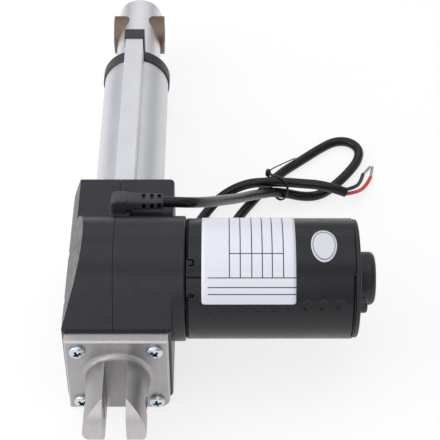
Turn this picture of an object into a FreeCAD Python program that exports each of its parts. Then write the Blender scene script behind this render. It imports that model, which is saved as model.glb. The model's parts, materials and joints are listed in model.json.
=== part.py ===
import FreeCAD, Part
import math
import os
from FreeCAD import Placement, Rotation, Vector

# An electric linear actuator. Millimetres, origin at the rear pin's centre,
# +X towards the motor's free end, +Y along the stroke, +Z up.

# Stroke and installed length
stroke = 100.0
dead_length = 175.0  # pin to pin with the rod drawn in, beyond the stroke
pin_bore = 10.0

# Clearances
running_gap = 0.05  # radial, a shaft in its bush
sliding_gap = 0.1  # radial, the rod in its guide and wiper
free_gap = 0.3  # between pieces that pass without touching
mesh_gap = 0.2  # each flank of the worm and of the screw thread
screw_hole_gap = 0.25  # radial, a screw's shank in a clearance hole

# Shares and tolerances used throughout
tiny = 1e-6  # a length taken as nothing
head_round = 0.4  # of a screw head's height, rounding of its rim
recess_reach = 0.64  # of a screw head's radius, cross recess from the middle
recess_width = 0.17  # of a screw head's radius, half a recess arm
recess_depth = 0.62  # of a screw head's height
ring_share = 0.28  # of a bearing's section, wall of each ring
arc_share = 0.45  # of the shorter run beside a cord's corner, taken by its arc

# Rear clevis
clevis_diameter = 28.6
clevis_slot = 10.5
clevis_reach = 18.4  # pin centre to the flange's rear face
clevis_root_fillet = 2.5
clevis_floor = 2.5  # slot bottom above the flange
flange_size = 47.0
flange_thickness = 5.2
flange_corner = 5.5
flange_edge = 0.8
flange_screw_pitch = 35.0
flange_screw_radius = 2.0
flange_screw_length = 16.0
flange_head_radius = 3.7
flange_head_height = 2.6

# Gear housing
housing_width = 49.5
housing_length = 89.4
housing_edge = 2.0
housing_heel = 5.5
housing_nose = 1.5
rear_deck = 24.5  # height of the low deck behind the worm case
parting_x = -1.5
parting_gap = 0.2
case_rise = 1.15  # worm case radius beyond the motor's
case_bevel = 0.34  # sideways lean of the left wall above the rear deck, per unit of height
case_edge = 0.9
case_slit_inset = 3.5  # from the case's round to the slit's middle
case_slit_angle = 100.0  # about the motor's axis
case_slit_tilt = 57.0
case_slit_length = 7.0
case_slit_width = 0.9
case_slit_depth = 2.0
motor_face = 31.0  # where the motor bolts on
worm_setback = 35.4  # flange to worm axis
rail_cover = 3.4
cavity_gap = 1.2  # room around the turning gears
housing_screw_radius = 1.5
housing_screw_length = 32.0
housing_screw_wall = 1.5  # between a screw and the tube
housing_screw_lift = 1.9  # of the upper screws
housing_head_radius = 2.8
housing_head_height = 2.0
housing_head_sink = 3.6

# Worm drive
gear_module = 1.0
wheel_teeth = 34
wheel_face = 10.0
hub_length = 26.0
hub_radius = 10.0
worm_pitch_diameter = 10.0
worm_length = 22.0
worm_end_room = 3.0  # worm to its end bush
gear_dedendum = 1.25  # in modules
ridge_sink = 0.3  # depth of a thread ridge in its core
pressure_angle = math.radians(20)
key_width = 4.0
key_height = 4.0
key_length = 14.0

# Lead screw
screw_diameter = 14.0
screw_lead = 4.0
thread_depth = 1.8
thread_flank = math.radians(15)
thread_crest = 1.46
journal_diameter = 12.0
lock_nut_width = 19.0
lock_nut_height = 5.0
tip_journal_diameter = 9.0
tip_guide_length = 5.0
tip_end = 2.0

# Screw bearings
screw_bearing_outer = 28.0
screw_bearing_width = 8.0
screw_ball_diameter = 4.8
screw_ball_count = 8

# Tube and rod
tube_diameter = 35.4
tube_wall = 2.5
tube_stop = 2.0  # wall between the front bearing and the tube
rail_width = 9.3
rail_top = 32.6
rail_wall = 1.5
rail_root = 1.5  # wall between the bore and the rail's channel
trigger_slit = 4.0
rod_diameter = 24.6
rod_wall = 3.0
rod_overhang = 17.5  # front pin centre to the rod's end
rod_plug_length = 6.0
front_bush_diameter = 22.0
front_bush_length = 28.7
nut_inset = 4.0  # nut to the tube's rear end
nut_flange = 12.0
nut_neck = 12.0
nut_spare = 3.0  # nut to guide with the rod fully out
nut_pin_radius = 1.5
guide_length = 16.0
cap_length = 7.6
cap_proud = 0.8
wiper_length = 4.3
wiper_wall = 3.0

# Limit switches
board_thickness = 1.0
switch_length = 12.8
switch_height = 6.0
plunger_height = 1.2
plunger_radius = 1.0
trigger_length = 8.0
trigger_root = 3.0  # nut wall under the trigger

# Motor
motor_diameter = 56.3
motor_length = 79.5
can_wall = 2.2
can_gap = 0.3  # seam at each end of the can
end_cap_rim = 2.0
end_cap_spigot = 4.0
end_cap_step = 0.5
boss_diameter = 25.0
boss_length = 8.6
boss_wall = 3.0
front_plate_thickness = 4.0
front_hub_length = 8.0
front_hub_wall = 3.0
shaft_diameter = 6.0
worm_seat_diameter = 5.0
motor_bearing_outer = 19.0
motor_bearing_width = 6.0
motor_ball_diameter = 3.4
motor_ball_count = 7
worm_bush_radius = 5.5
worm_bush_length = 6.0
rear_bush_radius = 6.0
air_gap = 0.7
magnet_thickness = 7.05
rotor_gap = 0.5  # along the shaft, between the rotor and what stands still
rotor_clearance = 2.7  # along the shaft, front hub to winding
slot_count = 10
slot_width = 4.0
slot_mouth = 1.6
slot_depth = 9.0
tooth_tip = 1.8
end_turn_length = 8.0
end_turn_radius = 15.5
end_turn_edge = 2.0
commutator_radius = 9.5
commutator_length = 8.5
bar_groove_depth = 0.8
bar_groove_width = 0.5
magnet_span = 120.0
magnet_overlap = 4.0
brush_axial = 6.0
brush_width = 7.0
brush_length = 10.0
brush_guide_wall = 1.5
brush_guide_gap = 1.6  # brush guide to commutator
holder_plate = 2.3
bolt_inset = 3.45  # can bore to bolt axis
bolt_angle = 166.0
bolt_radius = 2.0
bolt_engagement = 9.0
bolt_head_radius = 3.6
bolt_head_height = 3.2

# Label and sticker on the motor
sheet_thickness = 0.15
glue_gap = 0.1  # under the label and the sticker
label_inset = 7.5  # motor face to label
label_width = 42.6
label_from = 30.0
label_to = 157.7
sticker_inset = 62.9  # motor face to the sticker's middle
sticker_angle = 100.8
sticker_width = 11.8
sticker_length = 17.6

# Cable elbow
elbow_x = -1.0
elbow_rise = 6.0  # front deck to the arm's axis
elbow_reach = 21.0  # leg to the arm's end
elbow_size = 7.8
elbow_edge = 2.6
elbow_end_size = 6.4
elbow_end_edge = 2.2
elbow_bend = 3.4
elbow_leg_edge = 1.6
elbow_foot = 10.4
elbow_foot_height = 1.6
elbow_foot_corner = 1.5
elbow_grooves = (9.2, 5.3, 1.8)  # back from the arm's end
elbow_groove_width = 1.7
elbow_groove_depth = 0.9
elbow_groove_span = 3.4
board_hole_radius = 3.0

# Cable, its cores and its tie: x, y and height above the floor in cable diameters
cable_diameter = 5.2
cable_insert = 3.0  # length held in the elbow
cable_lead = 15.5  # straight run out of the elbow
core_diameter = 2.0
tip_diameter = 1.5
tie_diameter = 1.2
cable_route = (
    (49.3, 101.4, 11.11), (59.4, 122, 7.64), (66.8, 145.5, 3.61), (74, 156, 1.78),
    (82.5, 160.5, 0.91), (92, 160.2, 0.57), (101, 162, 0.51), (110, 170.5, 0.51),
    (117.5, 180.5, 0.51), (122.8, 191, 0.51), (123.8, 200, 0.51), (119, 207, 0.51),
    (110.5, 207.3, 0.51), (102.5, 200.8, 0.51), (92, 190.7, 0.51), (79, 178.8, 0.51),
    (65, 159.2, 0.51), (57.2, 147, 0.51), (58.5, 133.5, 0.51), (67.9, 121.3, 0.51),
    (67.3, 107.2, 0.51), (56.8, 97.6, 0.51), (42.7, 98.2, 0.51), (33.1, 108.7, 0.51),
    (33.7, 122.8, 0.51), (38, 137, 0.51), (43.5, 151, 0.63), (52.5, 160.3, 1.59),
    (63.8, 161.8, 2.61), (73, 162.9, 2.61), (83, 164.5, 2.26), (92, 163.2, 2.26),
    (99, 160.2, 2.61), (107, 158.6, 2.49), (113.8, 159, 1.8),
)
red_route = ((113.95, 157.85, 1.78), (118.3, 158.1, 1.34), (123.5, 163.2, 0.26), (128.2, 174, 0.221))
black_route = ((113.83, 160.15, 1.78), (117.4, 160.4, 1.41), (121.3, 168, 0.34), (125.1, 176.6, 0.26))
red_tip = ((128.2, 174, 0.221), (131.6, 181.8, 0.193))
black_tip = ((125.1, 176.6, 0.26), (128.5, 184.3, 0.188))
tie_route = (
    (90, 194.6, 0.144), (80.5, 188, 0.144), (73, 181.5, 0.45), (72.5, 175, 1.78),
    (77.5, 170.5, 2.91), (83, 165.8, 3.16), (83, 160.4, 2.72), (83, 157.2, 1.83),
    (83, 156, 0.84), (83, 158, 0.215), (83, 163, 0.235), (83, 166.4, 1.14),
    (83.8, 168.6, 2.14),
)

# Stations that follow
retracted_length = stroke + dead_length
housing_half = housing_width / 2
flange_back = clevis_reach + flange_thickness
worm_y = flange_back + worm_setback
wheel_radius = gear_module * wheel_teeth / 2
worm_radius = worm_pitch_diameter / 2
worm_z = wheel_radius + worm_radius
housing_front = flange_back + housing_length
front_deck = rail_top + rail_cover
elbow_height = front_deck + elbow_rise
elbow_end = elbow_x + elbow_reach
motor_radius = motor_diameter / 2
case_radius = motor_radius + case_rise
case_front = worm_y + math.sqrt(case_radius ** 2 - (front_deck - worm_z) ** 2)  # on the front deck
elbow_y = case_front + free_gap + elbow_foot / 2
wheel_tip = wheel_radius + gear_module
hub_start = worm_y - hub_length / 2
hub_end = worm_y + hub_length / 2
screw_radius = screw_diameter / 2
thread_root = screw_radius - thread_depth
journal_radius = journal_diameter / 2
rear_bearing_start = hub_start - screw_bearing_width
front_bearing_end = hub_end + screw_bearing_width
screw_rear = rear_bearing_start - lock_nut_height
lock_nut_corner = lock_nut_width / math.sqrt(3)
tube_start = front_bearing_end + tube_stop
tube_radius = tube_diameter / 2
tube_bore = tube_radius - tube_wall
nut_start = tube_start + nut_inset
nut_end = nut_start + nut_flange + nut_neck
guide_start = nut_end + stroke + nut_spare
tube_end = guide_start + guide_length
cap_end = tube_end + cap_length
rod_radius = rod_diameter / 2
rod_bore = rod_radius - rod_wall
rod_start = nut_start + nut_flange
rod_end = retracted_length + rod_overhang
thread_end = guide_start - nut_spare / 2
screw_tip = thread_end + tip_guide_length + tip_end
motor_end = motor_face + motor_length
can_start = motor_face + can_gap
can_end = motor_end - end_cap_rim - can_gap
can_bore = motor_radius - can_wall
armature_radius = can_bore - magnet_thickness - air_gap
bolt_circle = can_bore - bolt_inset
front_hub_radius = motor_bearing_outer / 2 + front_hub_wall
holder_end = motor_end - end_cap_rim - end_cap_spigot
commutator_start = holder_end - rotor_gap - commutator_length
armature_start = can_start + front_hub_length + rotor_clearance + end_turn_length
armature_length = commutator_start - rotor_gap - end_turn_length - armature_start
bush_end = motor_end + boss_length - boss_wall
shaft_radius = shaft_diameter / 2
label_start = motor_face + label_inset
sticker_centre = motor_face + sticker_inset
worm_seat = worm_seat_diameter / 2
worm_half = worm_length / 2
bush_right = -worm_half - worm_end_room
bush_left = bush_right - worm_bush_length
trigger_y = nut_start + nut_flange / 2
switch_top = rail_top - rail_wall - board_thickness
plunger_tip = switch_top - switch_height - plunger_height


def block(x0, x1, y0, y1, z0, z1):
    return Part.makeBox(x1 - x0, y1 - y0, z1 - z0, Vector(x0, y0, z0))


def bar_x(radius, x0, x1, y=0.0, z=0.0):
    return Part.makeCylinder(radius, x1 - x0, Vector(x0, y, z), Vector(1, 0, 0))


def bar_y(radius, y0, y1, x=0.0, z=0.0):
    return Part.makeCylinder(radius, y1 - y0, Vector(x, y0, z), Vector(0, 1, 0))


def bar_z(radius, z0, z1, x=0.0, y=0.0):
    return Part.makeCylinder(radius, z1 - z0, Vector(x, y, z0), Vector(0, 0, 1))


def motor_bar(radius, x0, x1):
    return bar_x(radius, x0, x1, worm_y, worm_z)


def motor_ring(outer, inner, x0, x1):
    return motor_bar(outer, x0, x1).cut(motor_bar(inner, x0, x1))


def screw_ring(outer, inner, y0, y1):
    return bar_y(outer, y0, y1).cut(bar_y(inner, y0, y1))


def on_screw_axis(shape, y):
    """Places a shape made about Z on the lead screw's axis."""
    shape.Placement = Placement(Vector(0, y, 0), Rotation(Vector(1, 0, 0), -90))
    return shape


def on_motor_axis(shape, x):
    """Places a shape made about Z on the motor's axis."""
    shape.Placement = Placement(Vector(x, worm_y, worm_z), Rotation(Vector(0, 1, 0), 90))
    return shape


def motor_point(x, radius, degrees):
    """A point on a circle about the motor's axis, counted from +Y towards +Z."""
    angle = math.radians(degrees)
    return Vector(x, worm_y + radius * math.cos(angle), worm_z + radius * math.sin(angle))


def motor_arc(x0, x1, inner, outer, degrees, span):
    """A curved block about the motor's axis."""
    corners = [
        motor_point(x0, inner, degrees),
        motor_point(x1, inner, degrees),
        motor_point(x1, outer, degrees),
        motor_point(x0, outer, degrees),
    ]
    face = Part.Face(Part.makePolygon(corners + corners[:1]))
    return face.revolve(Vector(0, worm_y, worm_z), Vector(1, 0, 0), span)


def prism_x(points, x0, x1):
    """A closed outline of (y, z) points drawn out along X."""
    corners = [Vector(x0, y, z) for y, z in points]
    face = Part.Face(Part.makePolygon(corners + corners[:1]))
    return face.extrude(Vector(x1 - x0, 0, 0))


def edges_along(shape, axis, where):
    """Straight edges along an axis whose middle passes the given test."""
    found = []
    for edge in shape.Edges:
        start, end = edge.Vertexes[0].Point, edge.Vertexes[-1].Point
        run = end - start
        if abs(abs(getattr(run, axis)) - run.Length) < tiny and where((start + end) * 0.5):
            found.append(edge)
    return found


def on_circle(shape, centre, axis, count, first=0.0):
    """Copies of a shape around an axis, each a separate solid."""
    copies = []
    for index in range(count):
        copy = shape.copy()
        copy.rotate(centre, axis, first + 360.0 * index / count)
        copies.append(copy)
    return copies


def thread_ridge(pitch, inner, outer, half_inner, half_outer, turns):
    """A trapezoid ridge about Z: a right-hand helix that passes +X at each whole pitch."""
    helix = Part.makeHelix(pitch, pitch, inner)
    outline = [
        Vector(inner, 0, -half_inner),
        Vector(outer, 0, -half_outer),
        Vector(outer, 0, half_outer),
        Vector(inner, 0, half_inner),
    ]
    profile = Part.makePolygon(outline + outline[:1])
    turn = Part.Wire(helix.Edges).makePipeShell([profile], True, True)
    stack = [turn.translated(Vector(0, 0, pitch * k)) for k in range(turns)]
    return stack[0].fuse(stack[1:])


def cross_head(radius, height):
    """A pan head on Z = 0 with a cross recess in its top."""
    head = Part.makeCylinder(radius, height)
    rim = [edge for edge in head.Edges if abs(edge.CenterOfMass.z - height) < tiny]
    head = head.makeFillet(head_round * height, rim)
    wide, narrow = recess_reach * radius, recess_width * radius
    deep = recess_depth * height
    for length, width in ((wide, narrow), (narrow, wide)):
        head = head.cut(block(-length, length, -width, width, height - deep, height))
    return head


def ball_bearing(bore, outer, width, ball, count):
    """Outer ring, inner ring and balls of a bearing about Z that starts at Z = 0."""
    middle = (bore + outer) / 2
    ring_wall = (outer - bore) * ring_share
    groove = Part.makeTorus(middle, ball / 2 + running_gap, Vector(0, 0, width / 2))
    outer_ring = Part.makeCylinder(outer, width).cut(Part.makeCylinder(outer - ring_wall, width))
    inner_ring = Part.makeCylinder(bore + ring_wall, width).cut(Part.makeCylinder(bore, width))
    sphere = Part.makeSphere(ball / 2, Vector(middle, 0, width / 2))
    balls = on_circle(sphere, Vector(0, 0, 0), Vector(0, 0, 1), count)
    return outer_ring.cut(groove), inner_ring.cut(groove), Part.makeCompound(balls)


def rear_clevis():
    radius = clevis_diameter / 2
    trunk = bar_y(radius, -radius, flange_back)
    tongue = block(-radius, radius, 0, flange_back, -radius, radius).fuse(bar_x(radius, -radius, radius))
    trunk = trunk.common(tongue)
    half = flange_size / 2
    flange = block(-half, half, clevis_reach, flange_back, -half, half)
    corner = edges_along(flange, "y", lambda p: p.x > 0 and p.z < 0)
    flange = flange.makeFillet(flange_corner, corner)
    near = [e for e in flange.Edges if e.BoundBox.YMax < clevis_reach + tiny]
    flange = flange.makeChamfer(flange_edge, near)
    body = trunk.fuse(flange).removeSplitter()
    root = [
        e for e in body.Edges
        if e.Curve.TypeId == "Part::GeomCircle"
        and abs(e.Curve.Radius - radius) < tiny
        and abs(e.CenterOfMass.y - clevis_reach) < tiny
    ]
    body = body.makeFillet(clevis_root_fillet, root)
    slot = clevis_slot / 2
    floor = clevis_reach - clevis_floor
    body = body.cut(block(-slot, slot, -2 * radius, floor, -2 * radius, 2 * radius))
    body = body.cut(bar_x(pin_bore / 2, -2 * radius, 2 * radius))
    for x, z in flange_screw_places():
        body = body.cut(bar_y(flange_screw_radius + screw_hole_gap, clevis_reach, flange_back, x, z))
    return body


def flange_screw_places():
    half = flange_screw_pitch / 2
    return [(x, z) for x in (-half, half) for z in (-half, half)]


def clevis_screws():
    screws = []
    for x, z in flange_screw_places():
        head = cross_head(flange_head_radius, flange_head_height)
        head.Placement = Placement(Vector(x, clevis_reach, z), Rotation(Vector(1, 0, 0), 90))
        shank = bar_y(flange_screw_radius, clevis_reach, clevis_reach + flange_screw_length, x, z)
        screws.append(head.fuse(shank).removeSplitter())
    return Part.makeCompound(screws)


def tube_outline(grow, y0, y1):
    """The tube with its rail as a full solid, grown by a margin."""
    half = rail_width / 2 + grow
    return bar_y(tube_radius + grow, y0, y1).fuse(block(-half, half, y0, y1, 0, rail_top + grow))


def rounded_body(y0, y1, top):
    """One block of the housing: a round heel at the rear, a small nose radius and rounded sides."""
    body = block(-housing_half, housing_half, y0, y1, -housing_half, top)
    body = body.makeFillet(housing_heel, edges_along(body, "x", lambda p: p.z < 0 and p.y < y0 + tiny))
    body = body.makeFillet(housing_nose, edges_along(body, "x", lambda p: p.y > y1 - tiny))
    sides = [edge for edge in body.Edges if edge.BoundBox.XLength < tiny]
    return body.makeFillet(housing_edge, sides)


def worm_case():
    """The raised case around the worm, with its slope to the rear deck."""
    foot_y, foot_z = flange_back + housing_nose, rear_deck
    reach_y, reach_z = worm_y - foot_y, worm_z - foot_z
    distance = math.hypot(reach_y, reach_z)
    climb = math.atan2(reach_z, reach_y) + math.asin(case_radius / distance)
    slope = math.sqrt(distance ** 2 - case_radius ** 2)
    touch = (foot_y + slope * math.cos(climb), foot_z + slope * math.sin(climb))
    outline = [(foot_y, 0), (foot_y, foot_z), touch, (worm_y, worm_z), (worm_y, 0)]
    wedge = prism_x(outline, -housing_half, housing_half)
    drum = motor_bar(case_radius, -housing_half, motor_face)
    rim = [edge for edge in drum.Edges if edge.BoundBox.XMin > motor_face - tiny]
    return drum.makeFillet(case_edge, rim).fuse(wedge)


def leaning_side():
    """What the lean of the left wall takes off."""
    height = 2 * case_radius
    lean = [
        Vector(-housing_half, 0, rear_deck),
        Vector(-housing_half + case_bevel * height, 0, rear_deck + height),
        Vector(-housing_half, 0, rear_deck + height),
    ]
    return Part.Face(Part.makePolygon(lean + lean[:1])).extrude(Vector(0, 2 * housing_front, 0))


def case_slit():
    """A narrow slit in the worm case's blind end."""
    middle = motor_point(0, case_radius - case_slit_inset, case_slit_angle)
    half, reach = case_slit_width / 2, case_slit_length / 2
    slit = block(-housing_width, housing_side(middle.z) + case_slit_depth, -reach, reach, -half, half)
    slit.rotate(Vector(0, 0, 0), Vector(1, 0, 0), case_slit_tilt)
    slit.translate(middle)
    return slit


def housing_screw_places():
    """(y, z) of each screw that joins the housing halves, clear of the bores."""
    low = -(tube_radius + housing_screw_radius + housing_screw_wall)
    behind = rear_bearing_start + screw_bearing_width / 2
    ahead = front_bearing_end - screw_bearing_width
    nose = housing_front - housing_edge - housing_head_radius
    high = housing_screw_lift - low
    return [(behind, low), (ahead, low), (nose, low), (behind, high), (ahead, high)]


def housing_side(z):
    """X of the housing's left wall at a height."""
    return -housing_half + case_bevel * max(0.0, z - rear_deck)


def housing_bores():
    """Everything that is hollow in the housing."""
    bearing = screw_bearing_outer / 2
    shoulder = hub_radius + cavity_gap
    wheel_room = wheel_face / 2 + cavity_gap
    hollow = [
        bar_y(bearing, rear_bearing_start, hub_start),
        bar_y(bearing, hub_end, front_bearing_end),
        bar_y(shoulder, hub_start, hub_end),
        bar_y(lock_nut_corner + cavity_gap, screw_rear - cavity_gap, rear_bearing_start),
        bar_y(wheel_tip + cavity_gap, worm_y - wheel_room, worm_y + wheel_room),
        bar_y(screw_radius + cavity_gap, front_bearing_end, tube_start),
        motor_bar(worm_radius + gear_module + cavity_gap, bush_right, motor_face),
        motor_bar(worm_bush_radius, bush_left, bush_right),
        tube_outline(0.0, tube_start, housing_front),
        bar_z(elbow_size / 2, rail_top, front_deck, elbow_x, elbow_y),
    ]
    for x, z in flange_screw_places():
        hollow.append(bar_y(flange_screw_radius, flange_back, clevis_reach + flange_screw_length, x, z))
    for degrees in (bolt_angle, bolt_angle + 180):
        start = motor_point(motor_face - bolt_engagement, bolt_circle, degrees)
        hollow.append(Part.makeCylinder(bolt_radius, bolt_engagement, start, Vector(1, 0, 0)))
    for y, z in housing_screw_places():
        seat = housing_side(z) + housing_head_sink
        hollow.append(bar_x(housing_screw_radius, seat, seat + housing_screw_length, y, z))
        hollow.append(bar_x(housing_head_radius + screw_hole_gap, -housing_width, seat, y, z))
    return hollow


def gear_housing():
    """Left and right halves of the gear housing."""
    body = rounded_body(flange_back, housing_front, rear_deck)
    body = body.fuse(rounded_body(worm_y, housing_front, front_deck)).fuse(worm_case()).removeSplitter()
    body = body.cut([leaning_side(), case_slit()] + housing_bores())
    far = 4 * housing_width
    half_gap = parting_gap / 2
    left = body.common(block(-far, parting_x - half_gap, -far, far, -far, far))
    right = body.common(block(parting_x + half_gap, far, -far, far, -far, far))
    return left, right


def housing_screws():
    screws = []
    for y, z in housing_screw_places():
        seat = housing_side(z) + housing_head_sink
        head = cross_head(housing_head_radius, housing_head_height)
        head.Placement = Placement(Vector(seat, y, z), Rotation(Vector(0, 1, 0), -90))
        shank = bar_x(housing_screw_radius, seat, seat + housing_screw_length, y, z)
        screws.append(head.fuse(shank).removeSplitter())
    return Part.makeCompound(screws)


def outer_tube():
    body = tube_outline(0.0, tube_start, tube_end).removeSplitter()
    half = rail_width / 2 - rail_wall
    floor = tube_radius + rail_root
    body = body.cut(bar_y(tube_bore, tube_start, tube_end))
    body = body.cut(block(-half, half, tube_start, tube_end, floor, rail_top - rail_wall))
    slit = trigger_slit / 2
    body = body.cut(block(-slit, slit, tube_start, guide_start, 0, floor))
    return body.cut(bar_z(board_hole_radius, rail_top - rail_wall, rail_top, elbow_x, elbow_y))


def tube_end_cap():
    body = tube_outline(cap_proud, tube_end, cap_end).removeSplitter()
    body = body.cut(bar_y(rod_radius + free_gap, tube_end, cap_end))
    seat = rod_radius + sliding_gap + wiper_wall
    return body.cut(bar_y(seat, cap_end - wiper_length, cap_end))


def rod_wiper():
    inner = rod_radius + sliding_gap
    body = screw_ring(inner + wiper_wall, inner, cap_end - wiper_length, cap_end)
    lip = [
        e for e in body.Edges
        if e.Curve.TypeId == "Part::GeomCircle"
        and abs(e.Curve.Radius - inner) < tiny
        and abs(e.CenterOfMass.y - cap_end) < tiny
    ]
    return body.makeChamfer(wiper_wall / 3, lip)


def rod_guide_bush():
    return screw_ring(tube_bore, rod_radius + sliding_gap, guide_start, tube_end)


def limit_switch_board():
    half = rail_width / 2 - rail_wall - running_gap
    end = trigger_y + stroke + switch_length
    return block(-half, half, tube_start, end, switch_top, switch_top + board_thickness)


def limit_switches():
    """One switch over the trigger at each end of the stroke, hung from the board."""
    half = rail_width / 2 - rail_wall - free_gap
    reach = switch_length / 2
    bottom = switch_top - switch_height
    switches = []
    for y in (trigger_y, trigger_y + stroke):
        body = block(-half, half, y - reach, y + reach, bottom, switch_top)
        plunger = bar_z(plunger_radius, plunger_tip, bottom, 0, y)
        switches.append(body.fuse(plunger))
    return Part.makeCompound(switches)


def piston_rod():
    body = screw_ring(rod_radius, rod_bore, rod_start, rod_end)
    body = body.cut(bar_x(front_bush_diameter / 2, -rod_diameter, rod_diameter, retracted_length))
    for side in (-1, 1):
        body = body.cut(nut_pin(side))
    return body


def nut_pin(side):
    middle = rod_start + nut_neck / 2
    inner = screw_radius + 2 * mesh_gap
    length = rod_radius - sliding_gap - inner
    return Part.makeCylinder(nut_pin_radius, length, Vector(side * inner, middle, 0), Vector(side, 0, 0))


def front_bush():
    half = front_bush_length / 2
    outer = bar_x(front_bush_diameter / 2, -half, half, retracted_length)
    return outer.cut(bar_x(pin_bore / 2, -half, half, retracted_length))


def rod_end_plug():
    return bar_y(rod_bore, rod_end - rod_plug_length, rod_end)


def thread_half_widths():
    """Half width of the screw's ridge at its crest and at its root."""
    crest = thread_crest / 2
    return crest, crest + thread_depth * math.tan(thread_flank)


def drive_nut():
    body = bar_y(tube_bore - free_gap, nut_start, rod_start).fuse(bar_y(rod_bore, rod_start, nut_end))
    body = body.removeSplitter()
    crest, root = thread_half_widths()
    turns = math.ceil((nut_flange + nut_neck) / screw_lead) + 2
    tool = thread_ridge(
        screw_lead, thread_root, screw_radius + mesh_gap, root + mesh_gap, crest + mesh_gap, turns
    )
    body = body.cut(bar_y(thread_root + mesh_gap, nut_start, nut_end))
    body = body.cut(on_screw_axis(tool, thread_phase(nut_start)))
    for side in (-1, 1):
        body = body.cut(nut_pin(side))
    return body.cut(switch_trigger())


def thread_phase(y):
    """Start of a helix that keeps in step with the screw and begins before a station."""
    first = front_bearing_end
    return first + screw_lead * (math.floor((y - first) / screw_lead) - 1)


def switch_trigger():
    half = trigger_slit / 2 - free_gap
    reach = trigger_length / 2
    root = screw_radius + 2 * mesh_gap + trigger_root
    return block(-half, half, trigger_y - reach, trigger_y + reach, root, plunger_tip - free_gap)


def nut_pins():
    return Part.makeCompound([nut_pin(-1), nut_pin(1)])


def lead_screw():
    crest, root = thread_half_widths()
    length = thread_end - front_bearing_end
    turns = math.ceil(length / screw_lead) + 2
    sunk = thread_root - ridge_sink
    grown = root + ridge_sink * math.tan(thread_flank)
    ridge = on_screw_axis(
        thread_ridge(screw_lead, sunk, screw_radius, grown, crest, turns), thread_phase(front_bearing_end)
    )
    ridge = ridge.common(bar_y(2 * screw_radius, front_bearing_end, thread_end))
    core = bar_y(journal_radius, screw_rear, front_bearing_end)
    core = core.fuse(bar_y(thread_root, front_bearing_end, thread_end))
    core = core.fuse(bar_y(tip_journal_diameter / 2, thread_end, screw_tip)).removeSplitter()
    return core.fuse(ridge).cut(wheel_key())


def wheel_key():
    half = key_width / 2
    middle = journal_radius
    return block(
        -half, half, worm_y - key_length / 2, worm_y + key_length / 2,
        -middle - key_height / 2, -middle + key_height / 2,
    )


def screw_tip_guide():
    outer = rod_bore - free_gap
    return screw_ring(outer, tip_journal_diameter / 2, thread_end, thread_end + tip_guide_length)


def screw_lock_nut():
    points = []
    for corner in range(6):
        angle = math.pi * corner / 3
        across, up = lock_nut_corner * math.cos(angle), lock_nut_corner * math.sin(angle)
        points.append(Vector(across, screw_rear, up))
    hexagon = Part.Face(Part.makePolygon(points + points[:1])).extrude(Vector(0, lock_nut_height, 0))
    return hexagon.cut(bar_y(journal_radius, screw_rear, rear_bearing_start))


def involute(angle):
    return math.tan(angle) - angle


def tooth_half_angle(radius):
    """Half of a wheel tooth's angle at a radius."""
    base = wheel_radius * math.cos(pressure_angle)
    local = math.acos(min(1.0, base / radius))
    return math.pi / (2 * wheel_teeth) + involute(pressure_angle) - involute(local)


def wheel_outline(y, turn):
    """The wheel's toothed outline at one end, with a gap at the top before it is turned."""
    root = wheel_radius - gear_dedendum * gear_module
    radii = (root, wheel_radius, wheel_tip)
    points = []
    for tooth in range(wheel_teeth):
        middle = math.pi * (2 * tooth + 1) / wheel_teeth + turn
        for radius in radii:
            points.append((radius, middle - tooth_half_angle(radius)))
        for radius in reversed(radii):
            points.append((radius, middle + tooth_half_angle(radius)))
    corners = [Vector(r * math.sin(a), y, r * math.cos(a)) for r, a in points]
    return Part.makePolygon(corners + corners[:1])


def worm_wheel():
    half = wheel_face / 2
    lead_angle = gear_module / worm_pitch_diameter
    turn = half * lead_angle / wheel_radius
    rim = Part.makeLoft([wheel_outline(worm_y - half, -turn), wheel_outline(worm_y + half, turn)], True, True)
    body = rim.fuse(bar_y(hub_radius, hub_start, hub_end))
    body = body.cut(bar_y(journal_radius, hub_start, hub_end))
    return body.cut(wheel_key())


def worm():
    pitch = math.pi * gear_module
    tip = worm_radius + gear_module
    root = worm_radius - gear_dedendum * gear_module
    half = pitch / 4 - mesh_gap
    sunk = root - ridge_sink
    turns = math.ceil(worm_half / pitch) + 1
    ridge = thread_ridge(
        pitch, sunk, tip,
        half + (worm_radius - sunk) * math.tan(pressure_angle),
        half - gear_module * math.tan(pressure_angle),
        2 * turns,
    )
    ridge = on_motor_axis(ridge, -turns * pitch).common(motor_bar(2 * tip, -worm_half, worm_half))
    body = motor_bar(root, -worm_half, worm_half).fuse(ridge)
    return body.cut(motor_bar(worm_seat, -worm_half, worm_half))


def motor_shaft():
    body = motor_bar(worm_seat, bush_left + free_gap, worm_half)
    return body.fuse(motor_bar(shaft_radius, worm_half, bush_end - free_gap)).removeSplitter()


def motor_can():
    return motor_ring(motor_radius, can_bore, can_start, can_end)


def bolt_holes(x0, x1):
    holes = []
    for degrees in (bolt_angle, bolt_angle + 180):
        start = motor_point(x0, bolt_circle, degrees)
        holes.append(Part.makeCylinder(bolt_radius + screw_hole_gap, x1 - x0, start, Vector(1, 0, 0)))
    return holes


def motor_front_plate():
    end = can_start + front_hub_length
    body = motor_bar(can_bore, can_start, can_start + front_plate_thickness)
    body = body.fuse(motor_bar(front_hub_radius, can_start, end)).removeSplitter()
    body = body.cut(motor_bar(motor_bearing_outer / 2, can_start, can_start + motor_bearing_width))
    body = body.cut(motor_bar(shaft_radius + cavity_gap, can_start, end))
    return body.cut(bolt_holes(can_start, end))


def motor_end_cap():
    body = motor_bar(can_bore, holder_end, motor_end)
    body = body.fuse(motor_bar(motor_radius - end_cap_step, motor_end - end_cap_rim, motor_end))
    boss = motor_bar(boss_diameter / 2, motor_end, motor_end + boss_length)
    rim = [e for e in boss.Edges if abs(e.CenterOfMass.x - motor_end - boss_length) < tiny]
    boss = boss.makeFillet(boss_wall / 2, rim)
    body = body.fuse(boss).removeSplitter()
    body = body.cut(motor_bar(rear_bush_radius, holder_end, bush_end))
    return body.cut(bolt_holes(holder_end, motor_end))


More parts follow.
